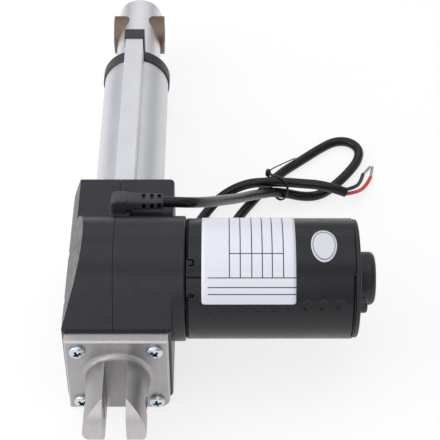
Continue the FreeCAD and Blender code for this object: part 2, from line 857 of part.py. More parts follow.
def motor_rear_bush():
    start = motor_end - end_cap_rim
    return motor_ring(rear_bush_radius, shaft_radius + running_gap, start, bush_end)


def worm_end_bush():
    return motor_ring(worm_bush_radius, worm_seat + running_gap, bush_left, bush_right)


def motor_bolts():
    bolts = []
    for degrees in (bolt_angle, bolt_angle + 180):
        start = motor_point(motor_face - bolt_engagement, bolt_circle, degrees)
        shank = Part.makeCylinder(bolt_radius, motor_end - start.x, start, Vector(1, 0, 0))
        head = cross_head(bolt_head_radius, bolt_head_height)
        seat = motor_point(motor_end, bolt_circle, degrees)
        head.Placement = Placement(seat, Rotation(Vector(0, 1, 0), 90))
        bolts.append(shank.fuse(head).removeSplitter())
    return Part.makeCompound(bolts)


def motor_magnets():
    start = armature_start - magnet_overlap
    end = armature_start + armature_length + magnet_overlap
    inner = armature_radius + air_gap
    middles = (bolt_angle - 90, bolt_angle + 90)
    return Part.makeCompound(
        [motor_arc(start, end, inner, can_bore, m - magnet_span / 2, magnet_span) for m in middles]
    )


def armature_slots():
    """One winding slot at the top, drawn about Z, with a narrow mouth."""
    bottom = armature_radius - slot_depth
    shoulder = armature_radius - tooth_tip
    slot = block(-slot_width / 2, slot_width / 2, bottom, shoulder, 0, armature_length)
    mouth = block(-slot_mouth / 2, slot_mouth / 2, shoulder, armature_radius + slot_mouth, 0, armature_length)
    return slot, mouth


def armature_core():
    slot, mouth = armature_slots()
    body = Part.makeCylinder(armature_radius, armature_length)
    body = body.cut(on_circle(slot.fuse(mouth), Vector(0, 0, 0), Vector(0, 0, 1), slot_count))
    body = body.cut(Part.makeCylinder(shaft_radius, armature_length))
    return on_motor_axis(body, armature_start)


def armature_winding():
    """Copper in the slots, joined by a round end turn at each end."""
    slot, _ = armature_slots()
    parts = on_circle(slot, Vector(0, 0, 0), Vector(0, 0, 1), slot_count)
    ends = ((-end_turn_length, -end_turn_length), (armature_length, armature_length + end_turn_length))
    for start, outside in ends:
        turn = Part.makeCylinder(end_turn_radius, end_turn_length, Vector(0, 0, start))
        rim = [e for e in turn.Edges if e.BoundBox.ZLength < tiny and abs(e.BoundBox.ZMin - outside) < tiny]
        turn = turn.makeFillet(end_turn_edge, rim)
        parts.append(turn.cut(Part.makeCylinder(shaft_radius, end_turn_length, Vector(0, 0, start))))
    return on_motor_axis(parts[0].multiFuse(parts[1:]), armature_start)


def commutator():
    body = motor_ring(commutator_radius, shaft_radius, commutator_start, commutator_start + commutator_length)
    half = bar_groove_width / 2
    bottom = commutator_radius - bar_groove_depth
    groove = block(-half, half, bottom, commutator_radius + bar_groove_depth, 0, commutator_length)
    grooves = Part.makeCompound(on_circle(groove, Vector(0, 0, 0), Vector(0, 0, 1), slot_count))
    return body.cut(on_motor_axis(grooves, commutator_start))


def brush_box(side, margin, inner, outer):
    """A radial block at a brush, made about the motor's axis."""
    middle = commutator_start + commutator_length / 2
    half_axial = brush_axial / 2 + margin
    half_wide = brush_width / 2 + margin
    start, end = middle - half_axial, middle + half_axial
    box = block(start, end, worm_y + inner, worm_y + outer, worm_z - half_wide, worm_z + half_wide)
    box.rotate(Vector(0, worm_y, worm_z), Vector(1, 0, 0), bolt_angle - 90 * side)
    return box


def carbon_brushes():
    start = commutator_radius + free_gap
    return Part.makeCompound([brush_box(side, 0.0, start, start + brush_length) for side in (-1, 1)])


def brush_holder():
    inner = commutator_radius + brush_guide_gap
    outer = commutator_radius + free_gap + brush_length + brush_guide_wall
    plate = motor_ring(can_bore, inner, holder_end - holder_plate, holder_end)
    body = plate.cut(bolt_holes(holder_end - holder_plate, holder_end))
    for side in (-1, 1):
        body = body.fuse(brush_box(side, brush_guide_wall, inner, outer))
    for side in (-1, 1):
        body = body.cut(brush_box(side, 0.0, commutator_radius, outer - brush_guide_wall))
    return body.removeSplitter()


def rating_label():
    span = label_to - label_from
    inner = motor_radius + glue_gap
    return motor_arc(label_start, label_start + label_width, inner, inner + sheet_thickness, label_from, span)


def oval_sticker():
    """A thin oval on the motor's curve."""
    start, end = sticker_centre - sticker_width, sticker_centre + sticker_width
    inner = motor_radius + glue_gap
    sheet = motor_ring(inner + sheet_thickness, inner, start, end)
    oval = Part.Ellipse(Vector(0, 0, 0), sticker_length / 2, sticker_width / 2)
    stamp = Part.Face(Part.Wire(oval.toShape())).extrude(Vector(0, 0, motor_diameter))
    stamp.rotate(Vector(0, 0, 0), Vector(0, 0, 1), 90)
    stamp.rotate(Vector(0, 0, 0), Vector(1, 0, 0), sticker_angle - 90)
    stamp.translate(Vector(sticker_centre, worm_y, worm_z))
    return sheet.common(stamp)


def elbow_square(half, edge, x):
    """A square outline with rounded corners across the elbow's arm."""
    bar = block(x, x + half, elbow_y - half, elbow_y + half, elbow_height - half, elbow_height + half)
    bar = bar.makeFillet(edge, edges_along(bar, "x", lambda p: True))
    return min(bar.Faces, key=lambda face: face.CenterOfMass.x).OuterWire


def elbow_arm(sunk):
    """The elbow's arm, which narrows towards the cable, with its faces sunk by a depth."""
    start = elbow_square(elbow_size / 2 - sunk, elbow_edge - sunk, elbow_x)
    end = elbow_square(elbow_end_size / 2 - sunk, elbow_end_edge - sunk, elbow_end)
    return Part.makeLoft([start, end], True, True)


def elbow_leg():
    """The elbow's post, with its round outer bend."""
    half = elbow_size / 2
    top = elbow_height + half
    post = block(elbow_x - half, elbow_x + half, elbow_y - half, elbow_y + half, front_deck, top)
    outer = edges_along(post, "y", lambda p: p.x < elbow_x and p.z > elbow_height)
    post = post.makeFillet(elbow_bend, outer)
    sides = [edge for edge in post.Edges if edge.BoundBox.YLength < tiny and edge.BoundBox.ZMax > front_deck + tiny]
    return post.makeFillet(elbow_leg_edge, sides)


def upright(half, corner, z0, z1):
    """A square post with rounded corners under the elbow."""
    post = block(elbow_x - half, elbow_x + half, elbow_y - half, elbow_y + half, z0, z1)
    return post.makeFillet(corner, edges_along(post, "z", lambda p: True))


def cable_elbow():
    """A moulded right-angle strain relief with ribs near the cable."""
    half = elbow_size / 2
    plug = bar_z(half, rail_top, front_deck, elbow_x, elbow_y)
    foot = upright(elbow_foot / 2, elbow_foot_corner, front_deck, front_deck + elbow_foot_height)
    body = plug.fuse([foot, elbow_leg(), elbow_arm(0)]).removeSplitter()
    waist = elbow_arm(elbow_groove_depth)
    span = elbow_groove_span / 2
    for step in elbow_grooves:
        start = elbow_end - step - elbow_groove_width / 2
        end = start + elbow_groove_width
        low, high = elbow_height - half, elbow_height + half
        flat = block(start, end, elbow_y - half, elbow_y + half, elbow_height - span, elbow_height + span)
        tall = block(start, end, elbow_y - span, elbow_y + span, low, high)
        body = body.cut(flat.fuse(tall).cut(waist))
    return body.cut(bar_x(cable_diameter / 2, elbow_end - cable_insert, elbow_end, elbow_y, elbow_height))


def laid(route):
    """Route points in millimetres; the housing's underside is the floor."""
    return [Vector(x, y, height * cable_diameter - housing_half) for x, y, height in route]


def cable_points():
    start = Vector(elbow_end - cable_insert, elbow_y, elbow_height)
    return [start, Vector(elbow_end + cable_lead, elbow_y, elbow_height)] + laid(cable_route)


def cord(name, points, diameter):
    """A round tube along straight runs joined by arcs as large as the runs allow."""
    edges = []
    radii = []
    here = points[0]
    for before, corner, after in zip(points, points[1:], points[2:]):
        inward, outward = corner - before, after - corner
        reach = arc_share * min(inward.Length, outward.Length)
        half_turn = inward.getAngle(outward) / 2
        radius = reach / math.tan(half_turn)
        inward.normalize()
        outward.normalize()
        start, end = corner - inward * reach, corner + outward * reach
        middle_way = (outward - inward).normalize()
        peak = corner + middle_way * (radius / math.cos(half_turn) - radius)
        edges.append(Part.LineSegment(here, start).toShape())
        edges.append(Part.Arc(start, peak, end).toShape())
        radii.append(radius)
        here = end
    edges.append(Part.LineSegment(here, points[-1]).toShape())
    path = Part.Wire(edges)
    ring = Part.Wire(Part.makeCircle(diameter / 2, points[0], points[1] - points[0]))
    body = path.makePipeShell([ring], True, False)
    share = body.Volume / (math.pi * diameter ** 2 / 4 * path.Length)
    print(name, "length", round(path.Length, 1), "volume share", round(share, 4))
    print(name, "radii", [round(r, 1) for r in radii])
    return body


def core_tips():
    tips = [cord("red tip", laid(red_tip), tip_diameter), cord("black tip", laid(black_tip), tip_diameter)]
    return Part.makeCompound(tips)


left_half, right_half = gear_housing()
rear_outer, rear_inner, rear_balls = (
    on_screw_axis(s, rear_bearing_start)
    for s in ball_bearing(
        journal_radius, screw_bearing_outer / 2, screw_bearing_width, screw_ball_diameter, screw_ball_count
    )
)
front_outer, front_inner, front_balls = (
    on_screw_axis(s, hub_end)
    for s in ball_bearing(
        journal_radius, screw_bearing_outer / 2, screw_bearing_width, screw_ball_diameter, screw_ball_count
    )
)
motor_outer, motor_inner, motor_balls = (
    on_motor_axis(s, can_start)
    for s in ball_bearing(
        shaft_radius, motor_bearing_outer / 2, motor_bearing_width, motor_ball_diameter, motor_ball_count
    )
)

nodes = {
    "rear_clevis": rear_clevis(),
    "clevis_screws": clevis_screws(),
    "gear_housing_left": left_half,
    "gear_housing_right": right_half,
    "housing_screws": housing_screws(),
    "rear_bearing_outer": rear_outer,
    "rear_bearing_inner": rear_inner,
    "rear_bearing_balls": rear_balls,
    "front_bearing_outer": front_outer,
    "front_bearing_inner": front_inner,
    "front_bearing_balls": front_balls,
    "outer_tube": outer_tube(),
    "tube_end_cap": tube_end_cap(),
    "rod_wiper": rod_wiper(),
    "rod_guide_bush": rod_guide_bush(),
    "limit_switch_board": limit_switch_board(),
    "limit_switches": limit_switches(),
    "piston_rod": piston_rod(),
    "front_bush": front_bush(),
    "rod_end_plug": rod_end_plug(),
    "drive_nut": drive_nut(),
    "nut_pins": nut_pins(),
    "switch_trigger": switch_trigger(),
    "lead_screw": lead_screw(),
    "screw_tip_guide": screw_tip_guide(),
    "screw_lock_nut": screw_lock_nut(),
    "worm_wheel": worm_wheel(),
    "wheel_key": wheel_key(),
    "worm": worm(),
    "motor_shaft": motor_shaft(),
    "worm_end_bush": worm_end_bush(),
    "motor_can": motor_can(),
    "motor_front_plate": motor_front_plate(),
    "motor_front_bearing_outer": motor_outer,
    "motor_front_bearing_inner": motor_inner,
    "motor_front_bearing_balls": motor_balls,
    "motor_end_cap": motor_end_cap(),
    "motor_rear_bush": motor_rear_bush(),
    "motor_bolts": motor_bolts(),
    "motor_magnets": motor_magnets(),
    "armature_core": armature_core(),
    "armature_winding": armature_winding(),
    "commutator": commutator(),
    "carbon_brushes": carbon_brushes(),
    "brush_holder": brush_holder(),
    "rating_label": rating_label(),
    "oval_sticker": oval_sticker(),
    "cable_elbow": cable_elbow(),
    "cable_sheath": cord("cable", cable_points(), cable_diameter),
    "core_red": cord("red core", laid(red_route), core_diameter),
    "core_black": cord("black core", laid(black_route), core_diameter),
    "core_tips": core_tips(),
    "cable_tie": cord("tie", laid(tie_route), tie_diameter),
}

os.makedirs("parts", exist_ok=True)
for name, shape in nodes.items():
    shape.exportStep(os.path.join("parts", name + ".step"))
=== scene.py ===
import json
import math

import bmesh
import bpy
from mathutils import Matrix, Vector

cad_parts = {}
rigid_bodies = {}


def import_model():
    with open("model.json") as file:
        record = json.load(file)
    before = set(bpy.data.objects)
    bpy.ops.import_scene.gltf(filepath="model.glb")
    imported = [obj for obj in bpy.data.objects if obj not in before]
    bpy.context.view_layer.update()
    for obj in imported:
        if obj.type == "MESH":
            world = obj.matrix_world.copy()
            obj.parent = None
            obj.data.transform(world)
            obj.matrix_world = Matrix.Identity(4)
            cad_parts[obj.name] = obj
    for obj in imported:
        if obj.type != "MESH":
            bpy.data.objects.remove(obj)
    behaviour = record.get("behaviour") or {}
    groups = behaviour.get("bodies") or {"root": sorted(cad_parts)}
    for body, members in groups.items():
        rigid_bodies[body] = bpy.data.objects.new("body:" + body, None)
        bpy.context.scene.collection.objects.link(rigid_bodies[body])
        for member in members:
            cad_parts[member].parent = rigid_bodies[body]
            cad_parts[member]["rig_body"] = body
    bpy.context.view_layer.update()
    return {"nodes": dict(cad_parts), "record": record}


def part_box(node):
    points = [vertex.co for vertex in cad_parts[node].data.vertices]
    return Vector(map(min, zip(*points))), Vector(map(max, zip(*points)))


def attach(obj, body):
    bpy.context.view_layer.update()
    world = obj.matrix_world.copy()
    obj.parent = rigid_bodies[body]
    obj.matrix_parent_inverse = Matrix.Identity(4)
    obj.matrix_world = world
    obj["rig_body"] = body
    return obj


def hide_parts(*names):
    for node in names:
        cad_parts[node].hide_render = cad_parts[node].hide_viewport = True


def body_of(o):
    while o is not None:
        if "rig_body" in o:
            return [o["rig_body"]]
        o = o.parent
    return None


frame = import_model()
nodes = frame["nodes"]
subparts = frame["record"]["subparts"]
scene = bpy.context.scene

# Sizes are in mm and angles in degrees, unless a comment says otherwise
MM = 0.001  # in metres
FLOOR = -24.75  # height of the floor
CABLE, CORE = 5.2, 2.0  # diameters
PARTING = -1.5  # x of the plane between the housing's halves


def link_object(name, data):
    obj = bpy.data.objects.new(name, data)
    scene.collection.objects.link(obj)
    return obj


# Camera, at the photograph's viewing angle: its place and reach are in metres and its turns in radians
CAMERA_SENSOR, CAMERA_LENS = 36.0, 119.193
CAMERA_NEAR, CAMERA_FAR = 0.02, 50.0
CAMERA_PLACE = (0.047269, -0.408813, 0.518718)
CAMERA_YAW, CAMERA_ELEVATION, CAMERA_ROLL = -8.701e-4, 0.775295976, -1.351e-3
camera_data = bpy.data.cameras.new("photo_camera")
camera_data.sensor_fit = "HORIZONTAL"
camera_data.sensor_width = CAMERA_SENSOR
camera_data.lens = CAMERA_LENS
camera_data.clip_start = CAMERA_NEAR
camera_data.clip_end = CAMERA_FAR
camera = link_object("photo_camera", camera_data)
camera.matrix_world = (
    Matrix.Translation(CAMERA_PLACE)
    @ Matrix.Rotation(-CAMERA_YAW, 4, "Z")
    @ Matrix.Rotation(math.pi / 2 - CAMERA_ELEVATION, 4, "X")
    @ Matrix.Rotation(CAMERA_ROLL, 4, "Z")
)
scene.camera = camera


# Mesh helpers: a form is a list of vertices in metres and a list of faces
def mesh_object(name, verts, faces, smooth=True):
    mesh = bpy.data.meshes.new(name)
    mesh.from_pydata([tuple(v) for v in verts], [], faces)
    mesh.validate()
    for polygon in mesh.polygons:
        polygon.use_smooth = smooth
    return link_object(name, mesh)


def joined(forms):
    """Several forms as one."""
    verts, faces = [], []
    for new_verts, new_faces in forms:
        faces += [tuple(index + len(verts) for index in face) for face in new_faces]
        verts += new_verts
    return verts, faces


def ring_faces(rings, count):
    """Quads between neighbouring rings of count vertices each."""
    faces = []
    for j in range(rings - 1):
        for k in range(count):
            a, b = j * count + k, j * count + (k + 1) % count
            faces.append((a, b, b + count, a + count))
    return faces


def sweep(line, section, sides, sizes=None):
    """A closed section carried along a line.

    sides gives its width direction at each point, and sizes its scale.
    """
    verts = []
    count = len(section)
    for i, point in enumerate(line):
        before, after = line[max(i - 1, 0)], line[min(i + 1, len(line) - 1)]
        along = (after - before).normalized()
        across = sides[i] - along * along.dot(sides[i])
        across.normalize()
        up = along.cross(across)
        size = sizes[i] if sizes else 1.0
        verts += [point + (across * u + up * v) * size for u, v in section]
    faces = ring_faces(len(line), count)
    faces.append(tuple(reversed(range(count))))
    faces.append(tuple(range(len(verts) - count, len(verts))))
    return verts, faces


def round_section(radius, count):
    turns = [2 * math.pi * k / count for k in range(count)]
    return [(radius * math.cos(turn), radius * math.sin(turn)) for turn in turns]


def strap_section(width, thickness, corner, count=4):
    """A rectangle with rounded corners."""
    points = []
    for k, (x, y) in enumerate(((1, -1), (1, 1), (-1, 1), (-1, -1))):
        middle = x * (width / 2 - corner), y * (thickness / 2 - corner)
        for j in range(count + 1):
            turn = math.pi / 2 * (k - 1 + j / count)
            points.append((middle[0] + corner * math.cos(turn), middle[1] + corner * math.sin(turn)))
    return points


# Cable, cores and tie: x and y in mm, then height above the floor in cable diameters
ELBOW_AXIS = 42.0  # height of the elbow's arm
CABLE_INSIDE = 3.0  # from the elbow's end back to the cable's start
LEAD_REACH, LEAD_DROP = 10.5, 0.8
SPLINE_STEPS, TUBE_STEPS = 14, 7
elbow_low, elbow_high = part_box("cable_elbow")  # in metres, like the next three
elbow_y = (elbow_low.y + elbow_high.y) / 2
elbow_end = elbow_high.x
elbow_axis = ELBOW_AXIS * MM
cable_route = (
    (39.5, 99.6, 11.0), (47.6, 114, 8.6), (55.6, 129, 6.1), (63.4, 143.2, 3.93), (69.8, 151.8, 2.64),
    (75.6, 157.4, 1.83), (82.5, 160.9, 1.0), (92, 160.4, 0.58), (101, 162, 0.51), (110, 170.5, 0.51),
    (117.5, 180.5, 0.51), (123, 189.6, 0.51), (124.6, 198.8, 0.51), (119.6, 205.6, 0.51),
    (111.2, 206.2, 0.51), (102, 199.4, 0.51), (92, 190.2, 0.51), (79, 178.8, 0.51),
    (66.5, 160.9, 0.51), (55.6, 143.8, 0.51), (51, 130.5, 0.51), (57.5, 118.5, 0.51),
    (64, 107.5, 0.51), (58.2, 96.6, 0.51), (44.5, 95.4, 0.51), (32.6, 103, 0.51),
    (29.8, 116, 0.51), (31, 131, 0.51), (38.5, 147, 0.55), (47.5, 157.2, 1.35),
    (60, 160.1, 2.5), (72, 160.9, 2.62), (83, 162.3, 2.3), (92, 161.3, 2.28),
    (99, 158.9, 2.58), (107, 157, 2.45), (113.8, 157.2, 1.8),
)
red_route = ((113.2, 156.4, 1.72), (120.1, 160.3, 1.2), (126.1, 169.3, 0.45), (129.3, 177.9, 0.225))
black_route = ((113.2, 158.4, 1.92), (119.6, 162.7, 1.5), (123.3, 171.3, 0.8), (125.2, 179.7, 0.3))
red_tip = ((129.3, 177.9, 0.225), (131, 186.6, 0.19))
black_tip = ((125.2, 179.7, 0.3), (129.6, 186.6, 0.19))
tie_route = (
    (87.9, 188.4, 1.1), (80.8, 178, 2.15), (74.3, 168.4, 3.1), (72.7, 166.2, 3.0),
    (74.3, 164.2, 2.98), (78.2, 162.5, 3.12), (82, 159.6, 2.98), (83, 156.9, 2.15),
    (82.2, 156.1, 1.4), (80.2, 156.9, 0.78), (77.6, 159.4, 0.5), (75, 163.6, 0.8),
    (73.4, 166.2, 1.7), (72.7, 166.5, 2.7),
)
tie_head_place = (72.6, 166.3, 2.92)


def place(point):
    x, y, height = point
    return Vector((x * MM, y * MM, (height * CABLE + FLOOR) * MM))


def placed(route):
    return [place(point) for point in route]


def spline_curve(name, points, diameter):
    """A tube on one smooth NURBS spline whose control points are these. The diameter is in metres."""
    data = bpy.data.curves.new(name, "CURVE")
    data.dimensions = "3D"
    data.resolution_u = SPLINE_STEPS
    spline = data.splines.new("NURBS")
    spline.points.add(len(points) - 1)
    for control, point in zip(spline.points, points):
        control.co = (*point, 1.0)
    spline.order_u = 3
    spline.use_endpoint_u = True
    data.bevel_depth = diameter / 2
    data.bevel_resolution = TUBE_STEPS
    data.use_fill_caps = True
    return link_object(name, data)


def spline_points(points):
    """Points along the NURBS spline with these control points."""
    curve = spline_curve("route_reader", points, 0.0)
    mesh = bpy.data.meshes.new_from_object(curve)
    line = [v.co.copy() for v in mesh.vertices]
    data = curve.data
    bpy.data.objects.remove(curve)
    bpy.data.curves.remove(data)
    bpy.data.meshes.remove(mesh)
    return line


cable_start = Vector((elbow_end - CABLE_INSIDE * MM, elbow_y, elbow_axis))
cable_lead = Vector((elbow_end + LEAD_REACH * MM, elbow_y, elbow_axis - LEAD_DROP * MM))
cable = spline_curve("cable", [cable_start, cable_lead] + placed(cable_route), CABLE * MM)
red_core = spline_curve("red_core", placed(red_route), CORE * MM)
black_core = spline_curve("black_core", placed(black_route), CORE * MM)

# Tinned ends: strands twisted together at the end of each core
STRANDS = 7
STRAND_RADIUS, STRAND_RING, STRAND_TURNS = 0.25, 0.5, 1.6
STRAND_STEPS, STRAND_SIDES = 28, 8


def strands(start, end):
    """One straight strand with the others wound round it."""
    along = end - start
    forward = along.normalized()
    across = forward.cross(Vector((0, 0, 1))).normalized()
    up = across.cross(forward)
    section = round_section(STRAND_RADIUS * MM, STRAND_SIDES)
    forms = []
    for strand in range(STRANDS):
        spread = STRAND_RING * MM if strand else 0.0
        line = []
        for i in range(STRAND_STEPS + 1):
            share = i / STRAND_STEPS
            turn = 2 * math.pi * (STRAND_TURNS * share + strand / (STRANDS - 1))
            line.append(start + along * share + (across * math.cos(turn) + up * math.sin(turn)) * spread)
        forms.append(sweep(line, section, [up] * len(line)))
    return joined(forms)


tips = mesh_object("wire_tips", *joined([strands(*placed(route)) for route in (red_tip, black_tip)]))

# Tie: a thin nylon strap round the cable, with its head
TIE_WIDTH, TIE_THICKNESS, TIE_CORNER = 1.35, 0.9, 0.35
TIE_SIDE, TAIL_SIDE = Vector((0.9, 0.4, 0.2)), Vector((0.5, -0.6, 0.6))
TAIL_SHARE, TAIL_BLEND, TAIL_TAPER = 0.22, 0.05, 0.35  # shares of the strap's length and width
TIE_HEAD_WIDTH, TIE_HEAD_THICKNESS, TIE_HEAD_CORNER = 2.9, 2.6, 0.6
TIE_HEAD_STEP = 0.55
TIE_HEAD_AXIS = Vector((0.15, 0.35, 1.0))
tie_head_sizes = (0.55, 0.8, 0.95, 1.0, 1.0, 0.96, 0.84, 0.6)


def tie_strap():
    """The strap, whose free tail is thinner and turned edge on."""
    line = spline_points(placed(tie_route))
    sides, sizes = [], []
    for i in range(len(line)):
        share = i / (len(line) - 1)
        tail = max(0.0, min(1.0, (TAIL_SHARE - share) / TAIL_BLEND))
        sides.append(TIE_SIDE * (1 - tail) + TAIL_SIDE * tail)
        sizes.append(1.0 - TAIL_TAPER * tail)
    section = strap_section(TIE_WIDTH * MM, TIE_THICKNESS * MM, TIE_CORNER * MM)
    return sweep(line, section, sides, sizes)


def tie_head():
    count = len(tie_head_sizes)
    steps = [(k - (count - 1) / 2) * TIE_HEAD_STEP for k in range(count)]
    line = [place(tie_head_place) + TIE_HEAD_AXIS * step * MM for step in steps]
    section = strap_section(TIE_HEAD_WIDTH * MM, TIE_HEAD_THICKNESS * MM, TIE_HEAD_CORNER * MM)
    return sweep(line, section, [Vector((1, 0, 0))] * count, tie_head_sizes)


tie = mesh_object("tie_strap", *joined([tie_strap(), tie_head()]))

# Motor: angles are about the motor's axis, from +Y towards +Z
AXIS_Y, AXIS_Z = 59.0, 22.0
CAN_RADIUS, CAN_WALL, CAN_ROUND = 28.15, 2.2, 0.5
CAN_BORE = CAN_RADIUS - CAN_WALL
CAN_SHARP = 40.0
ARC = math.radians(1) * CAN_RADIUS  # mm round the can for a degree
can_low, can_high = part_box("motor_can")
CAN_START, CAN_END = can_low.x / MM, can_high.x / MM


def on_can(x, degrees, radius=CAN_RADIUS):
    turn = math.radians(degrees)
    return Vector((x, AXIS_Y + radius * math.cos(turn), AXIS_Z + radius * math.sin(turn))) * MM


# Label and oval sticker, on the can
SHEET_LIFT, SHEET_THICKNESS = 0.25, 0.14
SHEET_RADIUS = CAN_RADIUS + SHEET_LIFT
LABEL_FROM, LABEL_TO, LABEL_CORNER = 30.0, 157.7, 1.2
LABEL_ROWS, LABEL_COLUMNS, LABEL_CORNER_ROWS = 70, 24, 5
STICKER_X, STICKER_TURN = 93.9, 100.8
STICKER_WIDTH, STICKER_LENGTH = 11.8, 17.6
STICKER_RINGS, STICKER_SIDES = 12, 72
UV_NAME = "UVMap"
label_low, label_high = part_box("rating_label")
LABEL_START, LABEL_END = label_low.x / MM, label_high.x / MM


def thin_sheet(name, verts, faces, uvs):
    """A sheet with a UV map, given a thickness on one side."""
    obj = mesh_object(name, verts, faces)
    layer = obj.data.uv_layers.new(name=UV_NAME)
    for loop in obj.data.loops:
        layer.data[loop.index].uv = uvs[loop.vertex_index]
    thick = obj.modifiers.new("thickness", "SOLIDIFY")
    thick.thickness = SHEET_THICKNESS * MM
    thick.offset = -1.0
    return obj


def label_sheet():
    """The label, with rounded corners. Its UV map is in mm from the left and lower edges."""
    arc = math.radians(LABEL_TO - LABEL_FROM) * SHEET_RADIUS
    turns = [math.pi / 2 * k / LABEL_CORNER_ROWS for k in range(LABEL_CORNER_ROWS)]
    corner_rows = [LABEL_CORNER * (1 - math.cos(turn)) for turn in turns]
    inner = arc - 2 * LABEL_CORNER
    rows = corner_rows + [LABEL_CORNER + inner * k / LABEL_ROWS for k in range(LABEL_ROWS + 1)]
    rows += [arc - row for row in reversed(corner_rows)]
    verts, uvs, faces = [], [], []
    for row in rows:
        short = max(0.0, LABEL_CORNER - min(row, arc - row))
        cut = LABEL_CORNER - math.sqrt(max(LABEL_CORNER ** 2 - short ** 2, 0.0))
        for k in range(LABEL_COLUMNS + 1):
            x = LABEL_START + cut + (LABEL_END - LABEL_START - 2 * cut) * k / LABEL_COLUMNS
            verts.append(on_can(x, LABEL_TO - math.degrees(row / SHEET_RADIUS), SHEET_RADIUS))
            uvs.append((x - LABEL_START, row))
    for j in range(len(rows) - 1):
        for k in range(LABEL_COLUMNS):
            a = j * (LABEL_COLUMNS + 1) + k
            faces.append((a, a + 1, a + LABEL_COLUMNS + 2, a + LABEL_COLUMNS + 1))
    return thin_sheet("motor_label", verts, faces, uvs)


def oval_sheet():
    """The oval sticker. Its UV map runs from -1 to 1 both ways."""
    uvs = [(0.0, 0.0)]
    for j in range(1, STICKER_RINGS + 1):
        uvs += round_section(j / STICKER_RINGS, STICKER_SIDES)
    verts = []
    for u, v in uvs:
        turn = STICKER_TURN - math.degrees(v * STICKER_LENGTH / 2 / SHEET_RADIUS)
        verts.append(on_can(STICKER_X + u * STICKER_WIDTH / 2, turn, SHEET_RADIUS))
    faces = [(0, 1 + k, 1 + (k + 1) % STICKER_SIDES) for k in range(STICKER_SIDES)]
    for a, b, c, d in ring_faces(STICKER_RINGS, STICKER_SIDES):
        faces.append((a + 1, d + 1, c + 1, b + 1))
    return thin_sheet("motor_sticker", verts, faces, uvs)


label = label_sheet()
sticker = oval_sheet()

# Can: a rolled shell with its end seams and a row of shallow pressed ovals
SEAM_X, TAB_X, SEAM_END = 32.1, 34.8, 107.4
SEAM_DEPTH, SEAM_HALF = 0.8, 0.42
SEAM_NEAR_X, SEAM_NEAR_TURN = 0.4, 1.0  # how far from a seam its depth is still worked out
OVAL_HALF_X, OVAL_HALF_ARC, OVAL_SLOPE = 2.5, 2.9, 0.4
OVAL_X, OVAL_TURN = 41.9, 162.4
OVAL_STEP_X, OVAL_STEP_TURN = 7.4, -0.5
OVALS, OVALS_FAINT = 9, 6
OVAL_DEPTH, OVAL_DEPTH_FAINT = 0.38, 0.22
seams = (
    ((SEAM_X, 60.0), (SEAM_X, 115.5)), ((SEAM_X, 115.5), (TAB_X, 116.5)), ((TAB_X, 116.5), (TAB_X, 121.0)),
    ((TAB_X, 121.0), (33.0, 121.5)), ((SEAM_X, 132.45), (38.6, 132.45)), ((33.0, 148.5), (TAB_X, 149.0)),
    ((TAB_X, 149.0), (TAB_X, 150.6)), ((TAB_X, 150.6), (SEAM_X, 151.0)), ((SEAM_X, 151.0), (SEAM_X, 205.0)),
    ((SEAM_END, 131.5), (108.2, 131.5)), ((SEAM_END, 131.5), (SEAM_END, 205.0)),
    ((SEAM_END, 205.0), (108.2, 205.0)),
)
seam_turns = (115.9, 121.2, 132.45, 148.7, 150.8)
oval_depths = [OVAL_DEPTH_FAINT] * OVALS_FAINT + [OVAL_DEPTH] * (OVALS - OVALS_FAINT)
ovals = [
    (OVAL_X + OVAL_STEP_X * k, OVAL_TURN + OVAL_STEP_TURN * k, depth)
    for k, depth in enumerate(oval_depths)
]


def spaced(low, high, step, bands, least):
    """Stations from low to high, closer together in the bands, each given as (from, to, step)."""
    stations = set()
    for start, end, gap in ((low, high, step), *bands):
        count = max(1, round((end - start) / gap))
        stations.update(start + (end - start) * k / count for k in range(count + 1))
    kept = [low]
    for station in sorted(stations):
        if station - kept[-1] > least and high - station > least:
            kept.append(station)
    return kept + [high]


def segment_distance(p, a, b):
    length = (b[0] - a[0]) ** 2 + (b[1] - a[1]) ** 2
    share = ((p[0] - a[0]) * (b[0] - a[0]) + (p[1] - a[1]) * (b[1] - a[1])) / length
    share = max(0.0, min(1.0, share))
    return math.hypot(p[0] - a[0] - share * (b[0] - a[0]), p[1] - a[1] - share * (b[1] - a[1]))


def seam_sink(x, degrees):
    sink = 0.0
    for (xa, da), (xb, db) in seams:
        near_x = min(xa, xb) - SEAM_NEAR_X < x < max(xa, xb) + SEAM_NEAR_X
        if near_x and min(da, db) - SEAM_NEAR_TURN < degrees < max(da, db) + SEAM_NEAR_TURN:
            away = segment_distance((x, degrees * ARC), (xa, da * ARC), (xb, db * ARC))
            sink = max(sink, SEAM_DEPTH * max(0.0, 1 - away / SEAM_HALF))
    return sink


def can_sink(x, degrees):
    """How far the can's face lies under its cylinder."""
    sink = seam_sink(x, degrees)
    for oval_x, oval_turn, depth in ovals:
        away = math.hypot((x - oval_x) / OVAL_HALF_X, (degrees - oval_turn) * ARC / OVAL_HALF_ARC)
        if away < 1:
            sink = max(sink, depth * min(1.0, (1 - away) / OVAL_SLOPE))
    edge = min(x - CAN_START, CAN_END - x)
    if edge < CAN_ROUND:
        sink = max(sink, CAN_ROUND - math.sqrt(max(CAN_ROUND ** 2 - (CAN_ROUND - edge) ** 2, 0.0)))
    return sink


